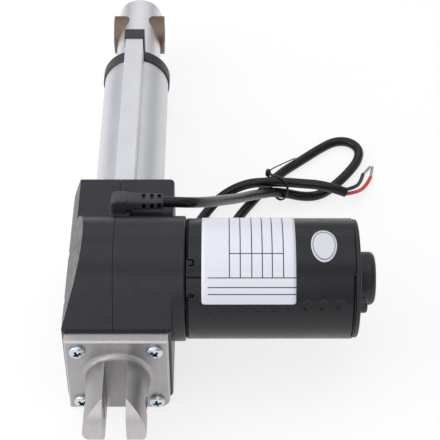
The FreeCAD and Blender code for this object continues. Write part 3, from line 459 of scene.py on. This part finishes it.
def can_stations():
    """Where the shell has vertices along X and round the axis: closer at seams, ovals and ends."""
    seam_band, seam_step = 0.45, 0.1
    end_step = 0.08
    oval_band, oval_step = 2.6, 0.26
    turn_band, turn_step = 0.9, 0.2
    oval_turns = (151.8, 169.0, 0.5)
    plain_step, plain_turn = 0.9, 1.6
    least_step, least_turn = 0.03, 0.06
    x_bands = [(x - seam_band, x + seam_band, seam_step) for x in (SEAM_X, TAB_X, SEAM_END)]
    x_bands += [(CAN_START, CAN_START + CAN_ROUND, end_step), (CAN_END - CAN_ROUND, CAN_END, end_step)]
    x_bands += [(x - oval_band, x + oval_band, oval_step) for x, _, _ in ovals]
    turn_bands = [(turn - turn_band, turn + turn_band, turn_step) for turn in seam_turns]
    turn_bands.append(oval_turns)
    xs = spaced(CAN_START, CAN_END, plain_step, x_bands, least_step)
    return xs, spaced(0.0, 360.0, plain_turn, turn_bands, least_turn)[:-1]


def can_shell():
    xs, turns = can_stations()
    rows = len(turns)
    verts = [on_can(x, d, CAN_RADIUS - can_sink(x, d)) for x in xs for d in turns]
    inner = len(verts)
    verts += [on_can(x, d, CAN_BORE) for x in (CAN_START, CAN_END) for d in turns]
    faces = ring_faces(len(xs), rows)
    last, inner_last = inner - rows, inner + rows
    for k in range(rows):
        n = (k + 1) % rows
        faces.append((k, inner + k, inner + n, n))
        faces.append((last + k, last + n, inner_last + n, inner_last + k))
        faces.append((inner + k, inner_last + k, inner_last + n, inner + n))
    obj = mesh_object("motor_shell", verts, faces)
    obj.data.set_sharp_from_angle(angle=math.radians(CAN_SHARP))
    return obj


shell = can_shell()

# Motor end cap: a turned rim and a boss with a well-rounded edge
CAP_FACE, CAP_INSIDE = 110.5, 3.0
CAP_GAP, CAP_PLAY = 0.15, 0.1
RIM_STEP = 0.5  # how far the rim lies under the can's face
RIM_RADIUS = CAN_RADIUS - RIM_STEP
RIM_BACK_ROUND, RIM_ROUND, FOOT_ROUND = 0.3, 0.9, 0.8
BOSS_RADIUS, BOSS_ROUND = 12.5, 2.8
BOSS_ROUND_BACK, BOSS_ROUND_TO = 3.0, 15  # where the round starts, back from the end, and its last angle
BOSS_SHOULDER, BOSS_FLAT, BOSS_MIDDLE = 5.0, 0.06, 0.02
BOSS_MIDDLE_RADIUS = 4.0
CAP_SIDES = 128
BOSS_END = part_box("motor_end_cap")[1].x / MM


def arc_points(x, r, radius, start, end, count=8):
    """Points (x, radius) on an arc of a profile about (x, r), its angles counted from +x."""
    turns = [math.radians(start + (end - start) * k / count) for k in range(count + 1)]
    return [(x + radius * math.cos(t), r + radius * math.sin(t)) for t in turns]


def cap_profile():
    """Points (x, radius) from the part inside the can to the boss's middle."""
    inside = CAN_BORE - CAP_PLAY
    back = CAN_END + CAP_GAP
    points = [(CAN_END - CAP_INSIDE, inside), (back, inside)]
    points += arc_points(back + RIM_BACK_ROUND, RIM_RADIUS - RIM_BACK_ROUND, RIM_BACK_ROUND, 180, 90, 3)
    points += arc_points(CAP_FACE - RIM_ROUND, RIM_RADIUS - RIM_ROUND, RIM_ROUND, 90, 0)
    points += arc_points(CAP_FACE + FOOT_ROUND, BOSS_RADIUS + FOOT_ROUND, FOOT_ROUND, 180, 270)
    boss_round = BOSS_END - BOSS_ROUND_BACK
    points += arc_points(boss_round, BOSS_RADIUS - BOSS_ROUND, BOSS_ROUND, 90, BOSS_ROUND_TO)
    points.append((BOSS_END - BOSS_FLAT, BOSS_RADIUS - BOSS_SHOULDER))
    points.append((BOSS_END - BOSS_MIDDLE, BOSS_MIDDLE_RADIUS))
    return points + [(BOSS_END, 0.0)]


def turned(name, profile):
    """A form turned about the motor's axis from points (x, radius), the last one on the axis."""
    rows = profile[:-1]
    verts = [on_can(x, 360.0 * k / CAP_SIDES, r) for x, r in rows for k in range(CAP_SIDES)]
    faces = ring_faces(len(rows), CAP_SIDES)
    top = len(verts)
    last = top - CAP_SIDES
    verts.append(on_can(profile[-1][0], 0.0, 0.0))
    faces += [(last + k, last + (k + 1) % CAP_SIDES, top) for k in range(CAP_SIDES)]
    faces.append(tuple(reversed(range(CAP_SIDES))))
    obj = mesh_object(name, verts, faces)
    obj.data.set_sharp_from_angle(angle=math.radians(CAN_SHARP))
    return obj


end_cap = turned("end_cap_turned", cap_profile())

# Clevis screws: domed heads with a cross recess, each turned by its own angle
SCREW_PLACE, SCREW_END = 17.5, 34.4
SHANK_RADIUS, SHANK_CHAMFER = 2.0, 0.5
HEAD_SEAT, HEAD_TOP, HEAD_RADIUS = 18.4, 15.8, 3.7
HEAD_RIM, HEAD_CHAMFER = 0.8, 0.15
DOME_RISE = HEAD_SEAT - HEAD_RIM - HEAD_TOP
DOME_FULL = 2.5  # 2 is an ellipse, and more is fuller
DOME_RINGS, SCREW_SIDES, SCREW_SHARP = 18, 64, 32.0
RECESS_MOUTH, RECESS_FLOOR = (15.6, 2.5, 0.66), (17.4, 0.95, 0.42)  # y, half length and half width
screw_turns = {(-1, 1): 28.0, (1, 1): 52.0, (-1, -1): 40.0, (1, -1): 12.0}


def screw_form(x, z):
    """A screw along Y without its recess."""
    rings = [(SCREW_END, SHANK_RADIUS - SHANK_CHAMFER), (SCREW_END - SHANK_CHAMFER, SHANK_RADIUS)]
    rings += [(HEAD_SEAT, SHANK_RADIUS), (HEAD_SEAT, HEAD_RADIUS - HEAD_CHAMFER)]
    rings.append((HEAD_SEAT - HEAD_CHAMFER, HEAD_RADIUS))
    for k in range(DOME_RINGS):
        turn = math.pi / 2 * k / DOME_RINGS
        rise = DOME_RISE * math.sin(turn) ** (2 / DOME_FULL)
        rings.append((HEAD_SEAT - HEAD_RIM - rise, HEAD_RADIUS * math.cos(turn) ** (2 / DOME_FULL)))
    verts = []
    for y, radius in rings:
        verts += [Vector((x + u, y, z + v)) * MM for u, v in round_section(radius, SCREW_SIDES)]
    faces = [tuple(reversed(range(SCREW_SIDES)))] + ring_faces(len(rings), SCREW_SIDES)
    top = len(verts)
    last = top - SCREW_SIDES
    verts.append(Vector((x, HEAD_TOP, z)) * MM)
    faces += [(last + k, last + (k + 1) % SCREW_SIDES, top) for k in range(SCREW_SIDES)]
    return verts, faces


def recess_form(x, z, degrees):
    """Two opposite arms of a cross recess: a bar that narrows towards its floor."""
    turn = math.radians(degrees)
    verts = []
    for y, length, width in (RECESS_MOUTH, RECESS_FLOOR):
        for u, v in ((-length, -width), (length, -width), (length, width), (-length, width)):
            along = x + u * math.cos(turn) - v * math.sin(turn)
            verts.append(Vector((along, y, z + u * math.sin(turn) + v * math.cos(turn))) * MM)
    faces = [(0, 1, 2, 3), (7, 6, 5, 4)]
    faces += [(k, k + 4, (k + 1) % 4 + 4, (k + 1) % 4) for k in range(4)]
    return verts, faces


def cut_screw(x, z, degrees):
    """A screw with its cross recess cut."""
    screw = mesh_object("screw_blank", *screw_form(x, z))
    cutters = [mesh_object("screw_cutter", *recess_form(x, z, degrees + turn)) for turn in (0, 90)]
    for cutter in cutters:
        cut = screw.modifiers.new("recess", "BOOLEAN")
        cut.operation = "DIFFERENCE"
        cut.solver = "EXACT"
        cut.object = cutter
    mesh = bpy.data.meshes.new_from_object(screw.evaluated_get(bpy.context.evaluated_depsgraph_get()))
    verts = [v.co.copy() for v in mesh.vertices]
    faces = [tuple(polygon.vertices) for polygon in mesh.polygons]
    bpy.data.meshes.remove(mesh)
    for obj in (screw, *cutters):
        data = obj.data
        bpy.data.objects.remove(obj)
        bpy.data.meshes.remove(data)
    return verts, faces


screw_forms = [cut_screw(x * SCREW_PLACE, z * SCREW_PLACE, turn) for (x, z), turn in screw_turns.items()]
screws = mesh_object("clevis_screws_domed", *joined(screw_forms))
screws.data.set_sharp_from_angle(angle=math.radians(SCREW_SHARP))

# Outer pieces with softened edges: the width of the rounding for each
SHARP_ANGLE, FLAT_ANGLE = 35.0, 0.5
MERGE_DISTANCE = 0.002
PARTING_REACH, PARTING_WEIGHT = 0.15, 0.2
SOFT_SEGMENTS = 2
soft_edges = {
    "rear_clevis": 0.22, "gear_housing_left": 0.35, "gear_housing_right": 0.35, "tube_end_cap": 0.4,
    "outer_tube": 0.15, "piston_rod": 0.3, "front_bush": 0.25, "cable_elbow": 0.25,
}


def softened_mesh(source):
    """A clean copy of a CAD node's mesh, with bevel weights on its sharp edges."""
    mesh = source.copy()
    mesh.materials.clear()
    form = bmesh.new()
    form.from_mesh(mesh)
    bmesh.ops.remove_doubles(form, verts=form.verts, dist=MERGE_DISTANCE * MM)
    flat = math.radians(FLAT_ANGLE)
    bmesh.ops.dissolve_limit(form, angle_limit=flat, verts=form.verts, edges=form.edges)
    weights = form.edges.layers.float.new("bevel_weight_edge")
    for edge in form.edges:
        parted = all(abs(v.co.x - PARTING * MM) < PARTING_REACH * MM for v in edge.verts)
        if edge.calc_face_angle(0.0) > math.radians(SHARP_ANGLE):
            edge[weights] = PARTING_WEIGHT if parted else 1.0
    form.to_mesh(mesh)
    form.free()
    for polygon in mesh.polygons:
        polygon.use_smooth = True
    mesh.set_sharp_from_angle(angle=math.radians(SHARP_ANGLE))
    return mesh


def softened(name, width):
    """A copy of a CAD node with its sharp edges rounded off, and less so along the parting line."""
    source = nodes[name]
    obj = link_object(name + "_soft", softened_mesh(source.data))
    obj.matrix_world = source.matrix_world
    soften = obj.modifiers.new("soften", "BEVEL")
    soften.width = width * MM
    soften.segments = SOFT_SEGMENTS
    soften.limit_method = "WEIGHT"
    weigh = obj.modifiers.new("weigh", "WEIGHTED_NORMAL")
    weigh.keep_sharp = True
    return obj


soft_pieces = {name: softened(name, width) for name, width in soft_edges.items()}

# Material helpers: object coordinates are in metres, so a noise scale is in features per metre
NOISE_LOW, NOISE_HIGH = 0.3, 0.7  # the range that a noise mostly keeps to
FINE_NOISE, SOFT_NOISE = (4.0, 0.6), (2.0, 0.5)  # detail and roughness


def shader_of(mat):
    return mat.node_tree.nodes["Principled BSDF"]


def surface(name, color, roughness, metallic=0.0, specular=0.5):
    mat = bpy.data.materials.new(name)
    mat.use_nodes = True
    shader = shader_of(mat)
    shader.inputs["Base Color"].default_value = (*color, 1.0)
    shader.inputs["Roughness"].default_value = roughness
    shader.inputs["Metallic"].default_value = metallic
    shader.inputs["Specular IOR Level"].default_value = specular
    return mat


def join(mat, output, target):
    mat.node_tree.links.new(output, target)


def math_pair(mat, operation, a, b):
    node = mat.node_tree.nodes.new("ShaderNodeMath")
    node.operation = operation
    join(mat, a, node.inputs[0])
    join(mat, b, node.inputs[1])
    return node.outputs[0]


def math_one(mat, operation, value, constant=0.0):
    node = mat.node_tree.nodes.new("ShaderNodeMath")
    node.operation = operation
    node.inputs[1].default_value = constant
    join(mat, value, node.inputs[0])
    return node.outputs[0]


def within(mat, value, low, high):
    """1 where a value lies between low and high, and 0 elsewhere."""
    node = mat.node_tree.nodes.new("ShaderNodeMath")
    node.operation = "COMPARE"
    node.inputs[1].default_value = (low + high) / 2
    node.inputs[2].default_value = (high - low) / 2
    join(mat, value, node.inputs[0])
    return node.outputs[0]


def squared(mat, value):
    return math_pair(mat, "MULTIPLY", value, value)


def rising(mat, value, low, high):
    """From 0 to 1 as a value goes from low to high."""
    spread = mat.node_tree.nodes.new("ShaderNodeMapRange")
    spread.inputs["From Min"].default_value = low
    spread.inputs["From Max"].default_value = high
    join(mat, value, spread.inputs["Value"])
    return spread.outputs["Result"]


def object_axes(mat):
    """Object coordinates in mm."""
    coords = mat.node_tree.nodes.new("ShaderNodeTexCoord")
    scaled = mat.node_tree.nodes.new("ShaderNodeMapping")
    scaled.inputs["Scale"].default_value = (1 / MM,) * 3
    split = mat.node_tree.nodes.new("ShaderNodeSeparateXYZ")
    join(mat, coords.outputs["Object"], scaled.inputs["Vector"])
    join(mat, scaled.outputs["Vector"], split.inputs["Vector"])
    return split.outputs["X"], split.outputs["Y"], split.outputs["Z"]


def noise(mat, scale, detail=3.0, roughness=0.55):
    """Noise on object coordinates. scale is one number, or one for each axis."""
    coords = mat.node_tree.nodes.new("ShaderNodeTexCoord")
    mapping = mat.node_tree.nodes.new("ShaderNodeMapping")
    mapping.inputs["Scale"].default_value = scale if isinstance(scale, tuple) else (scale,) * 3
    texture = mat.node_tree.nodes.new("ShaderNodeTexNoise")
    texture.inputs["Scale"].default_value = 1.0
    texture.inputs["Detail"].default_value = detail
    texture.inputs["Roughness"].default_value = roughness
    join(mat, coords.outputs["Object"], mapping.inputs["Vector"])
    join(mat, mapping.outputs["Vector"], texture.inputs["Vector"])
    return texture.outputs["Fac"]


def tint(mat, fac, low, high, start=0.35, end=0.65):
    """Base colour from low to high along a factor."""
    ramp = mat.node_tree.nodes.new("ShaderNodeValToRGB")
    ramp.color_ramp.elements[0].position = start
    ramp.color_ramp.elements[0].color = (*low, 1.0)
    ramp.color_ramp.elements[1].position = end
    ramp.color_ramp.elements[1].color = (*high, 1.0)
    join(mat, fac, ramp.inputs["Fac"])
    join(mat, ramp.outputs["Color"], shader_of(mat).inputs["Base Color"])
    return ramp.outputs["Color"]


def patch(mat, mask, low, high, marks):
    """Another base colour, from low to high along the marks, where the mask is 1."""
    base = shader_of(mat).inputs["Base Color"]
    under = base.links[0].from_socket
    over = tint(mat, marks, low, high)
    blend = mat.node_tree.nodes.new("ShaderNodeMix")
    blend.data_type = "RGBA"
    join(mat, mask, blend.inputs["Factor"])
    join(mat, under, blend.inputs["A"])
    join(mat, over, blend.inputs["B"])
    join(mat, blend.outputs["Result"], base)


def gloss(mat, fac, low, high):
    """Roughness from low to high along a noise."""
    spread = mat.node_tree.nodes.new("ShaderNodeMapRange")
    spread.inputs["From Min"].default_value = NOISE_LOW
    spread.inputs["From Max"].default_value = NOISE_HIGH
    spread.inputs["To Min"].default_value = low
    spread.inputs["To Max"].default_value = high
    join(mat, fac, spread.inputs["Value"])
    join(mat, spread.outputs["Result"], shader_of(mat).inputs["Roughness"])


def relief(mat, fac, depth):
    """Fine relief, its depth in metres."""
    bump = mat.node_tree.nodes.new("ShaderNodeBump")
    bump.inputs["Strength"].default_value = 1.0
    bump.inputs["Distance"].default_value = depth
    join(mat, fac, bump.inputs["Height"])
    join(mat, bump.outputs["Normal"], shader_of(mat).inputs["Normal"])


def shade(color, share):
    return tuple(c * share for c in color)


def metal(name, color, rough, grain, depth, spread=0.08, cloud=70.0):
    """A satin metal with a grain, given as noise scales for the three axes."""
    smoother, rougher = rough - 0.06, rough + 0.08
    mat = surface(name, color, rough, 1.0)
    tint(mat, noise(mat, cloud), shade(color, 1 - spread), shade(color, 1 + spread / 2))
    lines = noise(mat, grain, *FINE_NOISE)
    gloss(mat, lines, smoother, rougher)
    relief(mat, lines, depth)
    return mat


def plastic(name, color, rough, grain, depth, specular=0.5):
    """Moulded plastic, rubber or paint with a fine grain."""
    dark, light = 0.85, 1.15
    smoother, rougher = rough - 0.05, rough + 0.07
    cloud, smear = 90.0, 260.0
    mat = surface(name, color, rough, 0.0, specular)
    tint(mat, noise(mat, cloud), shade(color, dark), shade(color, light))
    gloss(mat, noise(mat, smear), smoother, rougher)
    relief(mat, noise(mat, grain, *SOFT_NOISE), depth)
    return mat


# Clevis: where its cuts lie, and the floor of its slot, which gets painted shade
FLANGE_EDGE = (22.65, 22.85)  # where the tone of the flange's face goes over to that of its edges
SLOT_DEPTH, SLOT_HEIGHT, SLOT_HALF = (15.6, 18.6), (-22.6, 14.2), 5.2
TRUNK_RADIUS = 14.05
CUT_BLEND = 0.1


def clevis_metal():
    """Cast grey metal, lighter where it is cut, with painted shade at the bottom of the slot.

    The cuts are the flange's edges and the prongs' round ends.
    """
    cast, milled = (0.440, 0.422, 0.425), (0.57, 0.54, 0.54)
    mat = surface("satin_cast_metal", cast, 0.44, 1.0)
    x, y, z = object_axes(mat)
    width, height = math_one(mat, "ABSOLUTE", x), math_one(mat, "ABSOLUTE", z)
    is_milled = rising(mat, math_pair(mat, "ADD", y, width), CUT_BLEND, -CUT_BLEND)
    is_edge = rising(mat, math_pair(mat, "MAXIMUM", width, height), *FLANGE_EDGE)
    upper = math_one(mat, "MAXIMUM", z, 0.0)
    from_axis = math_pair(mat, "ADD", squared(mat, x), squared(mat, upper))
    in_trunk = within(mat, from_axis, 0.0, TRUNK_RADIUS ** 2)
    in_slot = math_pair(mat, "MULTIPLY", in_trunk, within(mat, width, 0.0, SLOT_HALF))
    at_floor = math_pair(mat, "MULTIPLY", within(mat, y, *SLOT_DEPTH), within(mat, z, *SLOT_HEIGHT))
    tint(mat, noise(mat, 110.0), shade(cast, 0.95), shade(cast, 1.05))
    marks = noise(mat, (2200.0, 140.0, 140.0), *FINE_NOISE)
    cut = math_pair(mat, "MAXIMUM", is_milled, is_edge)
    patch(mat, cut, shade(milled, 0.94), shade(milled, 1.05), marks)
    # Painted shade: the slot's floor is darkened where the prongs would shade it
    patch(mat, math_pair(mat, "MULTIPLY", in_slot, at_floor), shade(cast, 0.68), shade(cast, 0.76), marks)
    skin = noise(mat, 1500.0, *FINE_NOISE)
    gloss(mat, skin, 0.38, 0.52)
    relief(mat, skin, 0.000014)
    return mat


# Clevis screws: the painted shade of a recess lies inside a ball under the dome
BALL_RADIUS = (HEAD_RADIUS ** 2 + DOME_RISE ** 2) / (2 * DOME_RISE)
BALL_MIDDLE = HEAD_TOP + BALL_RADIUS
RECESS_LIP, RECESS_STOP = 0.2, 0.6
RECESS_END = HEAD_SEAT - RECESS_STOP


def screw_metal():
    """Zinc-plated screws, with painted shade inside their cross recesses."""
    mat = metal("zinc_plated_screws", (0.64, 0.71, 0.76), 0.22, 1800.0, 0.00001, 0.1, 300.0)
    x, y, z = object_axes(mat)
    sides = [math_one(mat, "SUBTRACT", math_one(mat, "ABSOLUTE", axis), SCREW_PLACE) for axis in (x, z)]
    across = math_pair(mat, "ADD", squared(mat, sides[0]), squared(mat, sides[1]))
    away = math_pair(mat, "ADD", across, squared(mat, math_one(mat, "SUBTRACT", y, BALL_MIDDLE)))
    below = within(mat, away, 0.0, (BALL_RADIUS - RECESS_LIP) ** 2)
    inside = math_pair(mat, "MULTIPLY", below, within(mat, y, HEAD_TOP, RECESS_END))
    # Painted shade: each cross recess is darkened as if shadowed
    patch(mat, inside, (0.05, 0.07, 0.10), (0.16, 0.20, 0.26), noise(mat, 900.0))
    return mat


# Elbow: how far each groove lies back from the arm's end, and half the arm's width there
elbow_grooves = ((9.2, 3.51), (5.3, 3.38), (1.8, 3.26))
GROOVE_HALF, GROOVE_DEPTH = 0.9, 0.45
ARM_SQUARENESS = 4.0  # 2 is a round section, and more is squarer


def elbow_finish():
    """Black rubber, with painted shade at the bottom of its grooves."""
    mat = plastic("elbow_rubber", (0.054, 0.053, 0.061), 0.42, 1500.0, 0.00002, 0.25)
    x, y, z = object_axes(mat)
    sides = (math_one(mat, "SUBTRACT", y, elbow_y / MM), math_one(mat, "SUBTRACT", z, elbow_axis / MM))
    powers = [math_one(mat, "POWER", math_one(mat, "ABSOLUTE", side), ARM_SQUARENESS) for side in sides]
    reach = math_pair(mat, "ADD", *powers)
    for back, half in elbow_grooves:
        middle = elbow_end / MM - back
        band = within(mat, x, middle - GROOVE_HALF, middle + GROOVE_HALF)
        deep = within(mat, reach, 0.0, (half - GROOVE_DEPTH) ** ARM_SQUARENESS)
        groove_shade = math_pair(mat, "MULTIPLY", band, deep)
        # Painted shade: the bottom of each groove is darkened as if shadowed
        patch(mat, groove_shade, (0.004, 0.004, 0.005), (0.007, 0.007, 0.008), noise(mat, 900.0))
    return mat


# Label and sticker print: ruled lines in the label's own mm, and one ring on the sticker
FILM, FILM_ROUGH = (0.80, 0.81, 0.84), 0.34
RULE_HALF = 0.24
RULE_TOP, RULE_BASE, RULE_MIDDLE = 62.9, 12.3, 23.6
RULE_LEFT, RULE_RIGHT = 2.85, 42.6
rule_columns = (12.57, 17.47, 22.63, 27.39, 31.88, 36.92)
rule_rows = (RULE_BASE, 7.95, 4.75)
MIDDLE_RIGHT = 36.95
RING_FROM, RING_TO = 0.82, 0.88


def ruled_lines(mat, uv):
    split = mat.node_tree.nodes.new("ShaderNodeSeparateXYZ")
    join(mat, uv, split.inputs["Vector"])
    across, up = split.outputs["X"], split.outputs["Y"]
    rules = [(x - RULE_HALF, x + RULE_HALF, RULE_BASE, RULE_TOP) for x in rule_columns]
    rules += [(RULE_LEFT, RULE_RIGHT, y - RULE_HALF, y + RULE_HALF) for y in rule_rows]
    rules.append((rule_columns[0], MIDDLE_RIGHT, RULE_MIDDLE - RULE_HALF, RULE_MIDDLE + RULE_HALF))
    mark = None
    for x0, x1, y0, y1 in rules:
        rule = math_pair(mat, "MULTIPLY", within(mat, across, x0, x1), within(mat, up, y0, y1))
        mark = rule if mark is None else math_pair(mat, "MAXIMUM", mark, rule)
    return mark


def oval_ring(mat, uv):
    length = mat.node_tree.nodes.new("ShaderNodeVectorMath")
    length.operation = "LENGTH"
    join(mat, uv, length.inputs[0])
    return within(mat, length.outputs["Value"], RING_FROM, RING_TO)


def printed_film(name, paper, ink, print_of):
    """Satin film with its print, whose mask print_of makes from the UV map."""
    mat = surface(name, FILM, FILM_ROUGH)
    uv = mat.node_tree.nodes.new("ShaderNodeUVMap")
    uv.uv_map = UV_NAME
    tint(mat, print_of(mat, uv.outputs["UV"]), paper, ink, 0.0, 1.0)
    gloss(mat, noise(mat, 500.0), 0.28, 0.4)
    relief(mat, noise(mat, 900.0), 0.000006)
    return mat


# Finishes by material slot: name, colour, roughness, grain, relief in metres, then the function's options
ALONG_Y = (2600.0, 30.0, 2600.0)
ROUND_X = (2600.0, 90.0, 90.0)
ROUND_Y = (90.0, 2600.0, 90.0)
LAMINATED = (2600.0, 60.0, 60.0)
WOUND = (300.0, 2000.0, 2000.0)
finishes = {
    "clevis_aluminium": clevis_metal(),
    "zinc_steel": metal("zinc_plated_steel", (0.62, 0.69, 0.74), 0.22, 1800.0, 0.00001, 0.1, 300.0),
    "housing_black": plastic("moulded_black", (0.0085, 0.0078, 0.0130), 0.34, 2400.0, 0.000005, 0.44),
    "bearing_steel": metal("bearing_steel", (0.60, 0.60, 0.61), 0.2, ROUND_Y, 0.000004),
    "tube_aluminium": metal("drawn_aluminium", (0.74, 0.745, 0.77), 0.46, ALONG_Y, 0.000012, 0.03),
    "cap_black": plastic("cap_black", (0.034, 0.033, 0.040), 0.46, 2200.0, 0.00002, 0.4),
    "seal_rubber": plastic("seal_rubber", (0.012, 0.012, 0.013), 0.6, 1600.0, 0.00002),
    "guide_plastic": plastic("guide_plastic", (0.62, 0.6, 0.55), 0.45, 1600.0, 0.00001),
    "board_green": plastic("board_green", (0.02, 0.12, 0.05), 0.35, 900.0, 0.00001),
    "rod_aluminium": metal("satin_rod_aluminium", (0.80, 0.795, 0.81), 0.42, ALONG_Y, 0.000010, 0.03),
    "bush_bronze": metal("sintered_bronze", (0.215, 0.158, 0.122), 0.46, ROUND_X, 0.000014, 0.12),
    "nut_plastic": plastic("nut_plastic", (0.78, 0.76, 0.70), 0.45, 1600.0, 0.00001),
    "screw_steel": metal("screw_steel", (0.52, 0.52, 0.53), 0.3, ROUND_Y, 0.00001),
    "wheel_bronze": metal("wheel_bronze", (0.55, 0.38, 0.18), 0.38, 1500.0, 0.00001),
    "motor_black": plastic("motor_paint", (0.0035, 0.0032, 0.0062), 0.32, 900.0, 0.000008, 0.42),
    "plate_zinc": metal("plate_zinc", (0.5, 0.52, 0.54), 0.36, 900.0, 0.00001),
    "end_cap_black": plastic("end_cap_paint", (0.0120, 0.0115, 0.0165), 0.40, 1400.0, 0.00002, 0.45),
    "dark_steel": metal("blackened_steel", (0.06, 0.06, 0.064), 0.36, 1600.0, 0.00001, 0.15),
    "magnet_ferrite": plastic("magnet_ferrite", (0.05, 0.05, 0.055), 0.6, 1800.0, 0.00003),
    "core_steel": metal("core_steel", (0.3, 0.3, 0.31), 0.45, LAMINATED, 0.00003),
    "winding_copper": metal("winding_copper", (0.6, 0.25, 0.12), 0.32, WOUND, 0.00008),
    "commutator_copper": metal("commutator_copper", (0.7, 0.36, 0.2), 0.3, ROUND_X, 0.00001),
    "brush_carbon": plastic("brush_carbon", (0.03, 0.03, 0.03), 0.65, 2000.0, 0.00003),
    "elbow_rubber": elbow_finish(),
    "cable_black": plastic("cable_jacket", (0.0065, 0.0062, 0.0098), 0.22, 1300.0, 0.000003, 0.34),
    "core_red": plastic("red_insulation", (0.62, 0.040, 0.048), 0.35, 1500.0, 0.00001),
    "core_black": plastic("black_insulation", (0.010, 0.010, 0.011), 0.36, 1500.0, 0.00001),
    "tinned_wire": metal("tinned_wire", (0.50, 0.495, 0.49), 0.34, 2500.0, 0.00001, 0.15, 700.0),
    "tie_black": plastic("nylon_black", (0.009, 0.009, 0.010), 0.38, 1500.0, 0.00001),
    "label_white": printed_film("label_film", (0.76, 0.775, 0.83), (0.03, 0.03, 0.038), ruled_lines),
}
sticker_finish = printed_film("sticker_film", (0.66, 0.67, 0.71), (0.10, 0.11, 0.14), oval_ring)
for part in subparts:
    cad = nodes[part["node"]]
    cad.data.materials.clear()
    cad.data.materials.append(finishes[part["material_slot"]])


# Each piece's finish, material slot (which is not used), body and the CAD nodes that it replaces
def dress(obj, finish, slot, body, *replaced):
    obj.data.materials.append(finish)
    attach(obj, body)
    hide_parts(*replaced)


dress(cable, finishes["cable_black"], "cable_black", "base", "cable_sheath")
dress(red_core, finishes["core_red"], "core_red", "base", "core_red")
dress(black_core, finishes["core_black"], "core_black", "base", "core_black")
dress(tips, finishes["tinned_wire"], "tinned_wire", "base", "core_tips")
dress(tie, finishes["tie_black"], "tie_black", "base", "cable_tie")
dress(label, finishes["label_white"], "label_white", "base", "rating_label")
dress(sticker, sticker_finish, "label_white", "base", "oval_sticker")
dress(shell, finishes["motor_black"], "motor_black", "base", "motor_can")
dress(end_cap, finishes["end_cap_black"], "end_cap_black", "base", "motor_end_cap")
dress(screws, screw_metal(), "zinc_steel", "base", "clevis_screws")
for part in subparts:
    if part["node"] in soft_pieces:
        slot = part["material_slot"]
        body = body_of(nodes[part["node"]])[0]
        dress(soft_pieces[part["node"]], finishes[slot], slot, body, part["node"])

# Floor: it looks evenly white and keeps the object's shadow
FLOOR_REACH = 40.0  # m
FLOOR_COLOR, FLOOR_WHITE = (0.82, 0.82, 0.82, 1.0), (1.0, 1.0, 1.0, 1.0)
FLOOR_GLOW, FLOOR_SHARE = 1.08, 0.72


def floor_finish():
    mat = bpy.data.materials.new("studio_floor")
    mat.use_nodes = True
    tree = mat.node_tree
    tree.nodes.clear()
    out = tree.nodes.new("ShaderNodeOutputMaterial")
    mix = tree.nodes.new("ShaderNodeMixShader")
    matte = tree.nodes.new("ShaderNodeBsdfDiffuse")
    matte.inputs["Color"].default_value = FLOOR_COLOR
    glow = tree.nodes.new("ShaderNodeEmission")
    glow.inputs["Color"].default_value = FLOOR_WHITE
    glow.inputs["Strength"].default_value = FLOOR_GLOW
    rays = tree.nodes.new("ShaderNodeLightPath").outputs
    seen = math_pair(mat, "MAXIMUM", rays["Is Camera Ray"], rays["Is Glossy Ray"])
    seen = math_pair(mat, "MAXIMUM", seen, rays["Is Transmission Ray"])
    join(mat, math_one(mat, "MULTIPLY", seen, FLOOR_SHARE), mix.inputs["Fac"])
    join(mat, matte.outputs["BSDF"], mix.inputs[1])
    join(mat, glow.outputs["Emission"], mix.inputs[2])
    join(mat, mix.outputs["Shader"], out.inputs["Surface"])
    return mat


floor_corners = ((-1, -1), (1, -1), (1, 1), (-1, 1))
floor_verts = [(x * FLOOR_REACH, y * FLOOR_REACH, FLOOR * MM) for x, y in floor_corners]
floor = mesh_object("studio_floor", floor_verts, [(0, 1, 2, 3)], False)
floor.data.materials.append(floor_finish())

# Lights and background, in metres and watts
LIGHT_AIM = (0.05, 0.12, 0.0)
LIGHT_COLOR = (0.965, 0.975, 1.0)
SKY_COLOR, SKY_STRENGTH = (0.96, 0.97, 1.0, 1.0), 0.45


def area_light(name, position, width, height, power):
    data = bpy.data.lights.new(name, "AREA")
    data.shape = "RECTANGLE"
    data.size = width
    data.size_y = height
    data.energy = power
    data.color = LIGHT_COLOR
    light = link_object(name, data)
    light.location = position
    light.rotation_euler = (Vector(LIGHT_AIM) - Vector(position)).to_track_quat("-Z", "Y").to_euler()


area_light("overhead", (0.05, 0.15, 1.15), 1.4, 1.0, 3.8)
area_light("back_panel", (0.05, 1.35, 1.15), 2.2, 1.0, 4.4)
area_light("left_panel", (-0.95, 0.0, 0.55), 0.9, 0.9, 6.2)
area_light("right_panel", (1.0, 0.35, 0.5), 0.8, 0.8, 0.4)
area_light("front_panel", (-0.45, -0.95, 0.8), 1.4, 1.2, 5.6)
world = bpy.data.worlds.new("studio_world")
scene.world = world
world.use_nodes = True
sky = world.node_tree.nodes["Background"]
sky.inputs["Color"].default_value = SKY_COLOR
sky.inputs["Strength"].default_value = SKY_STRENGTH
scene.view_settings.view_transform = "Standard"
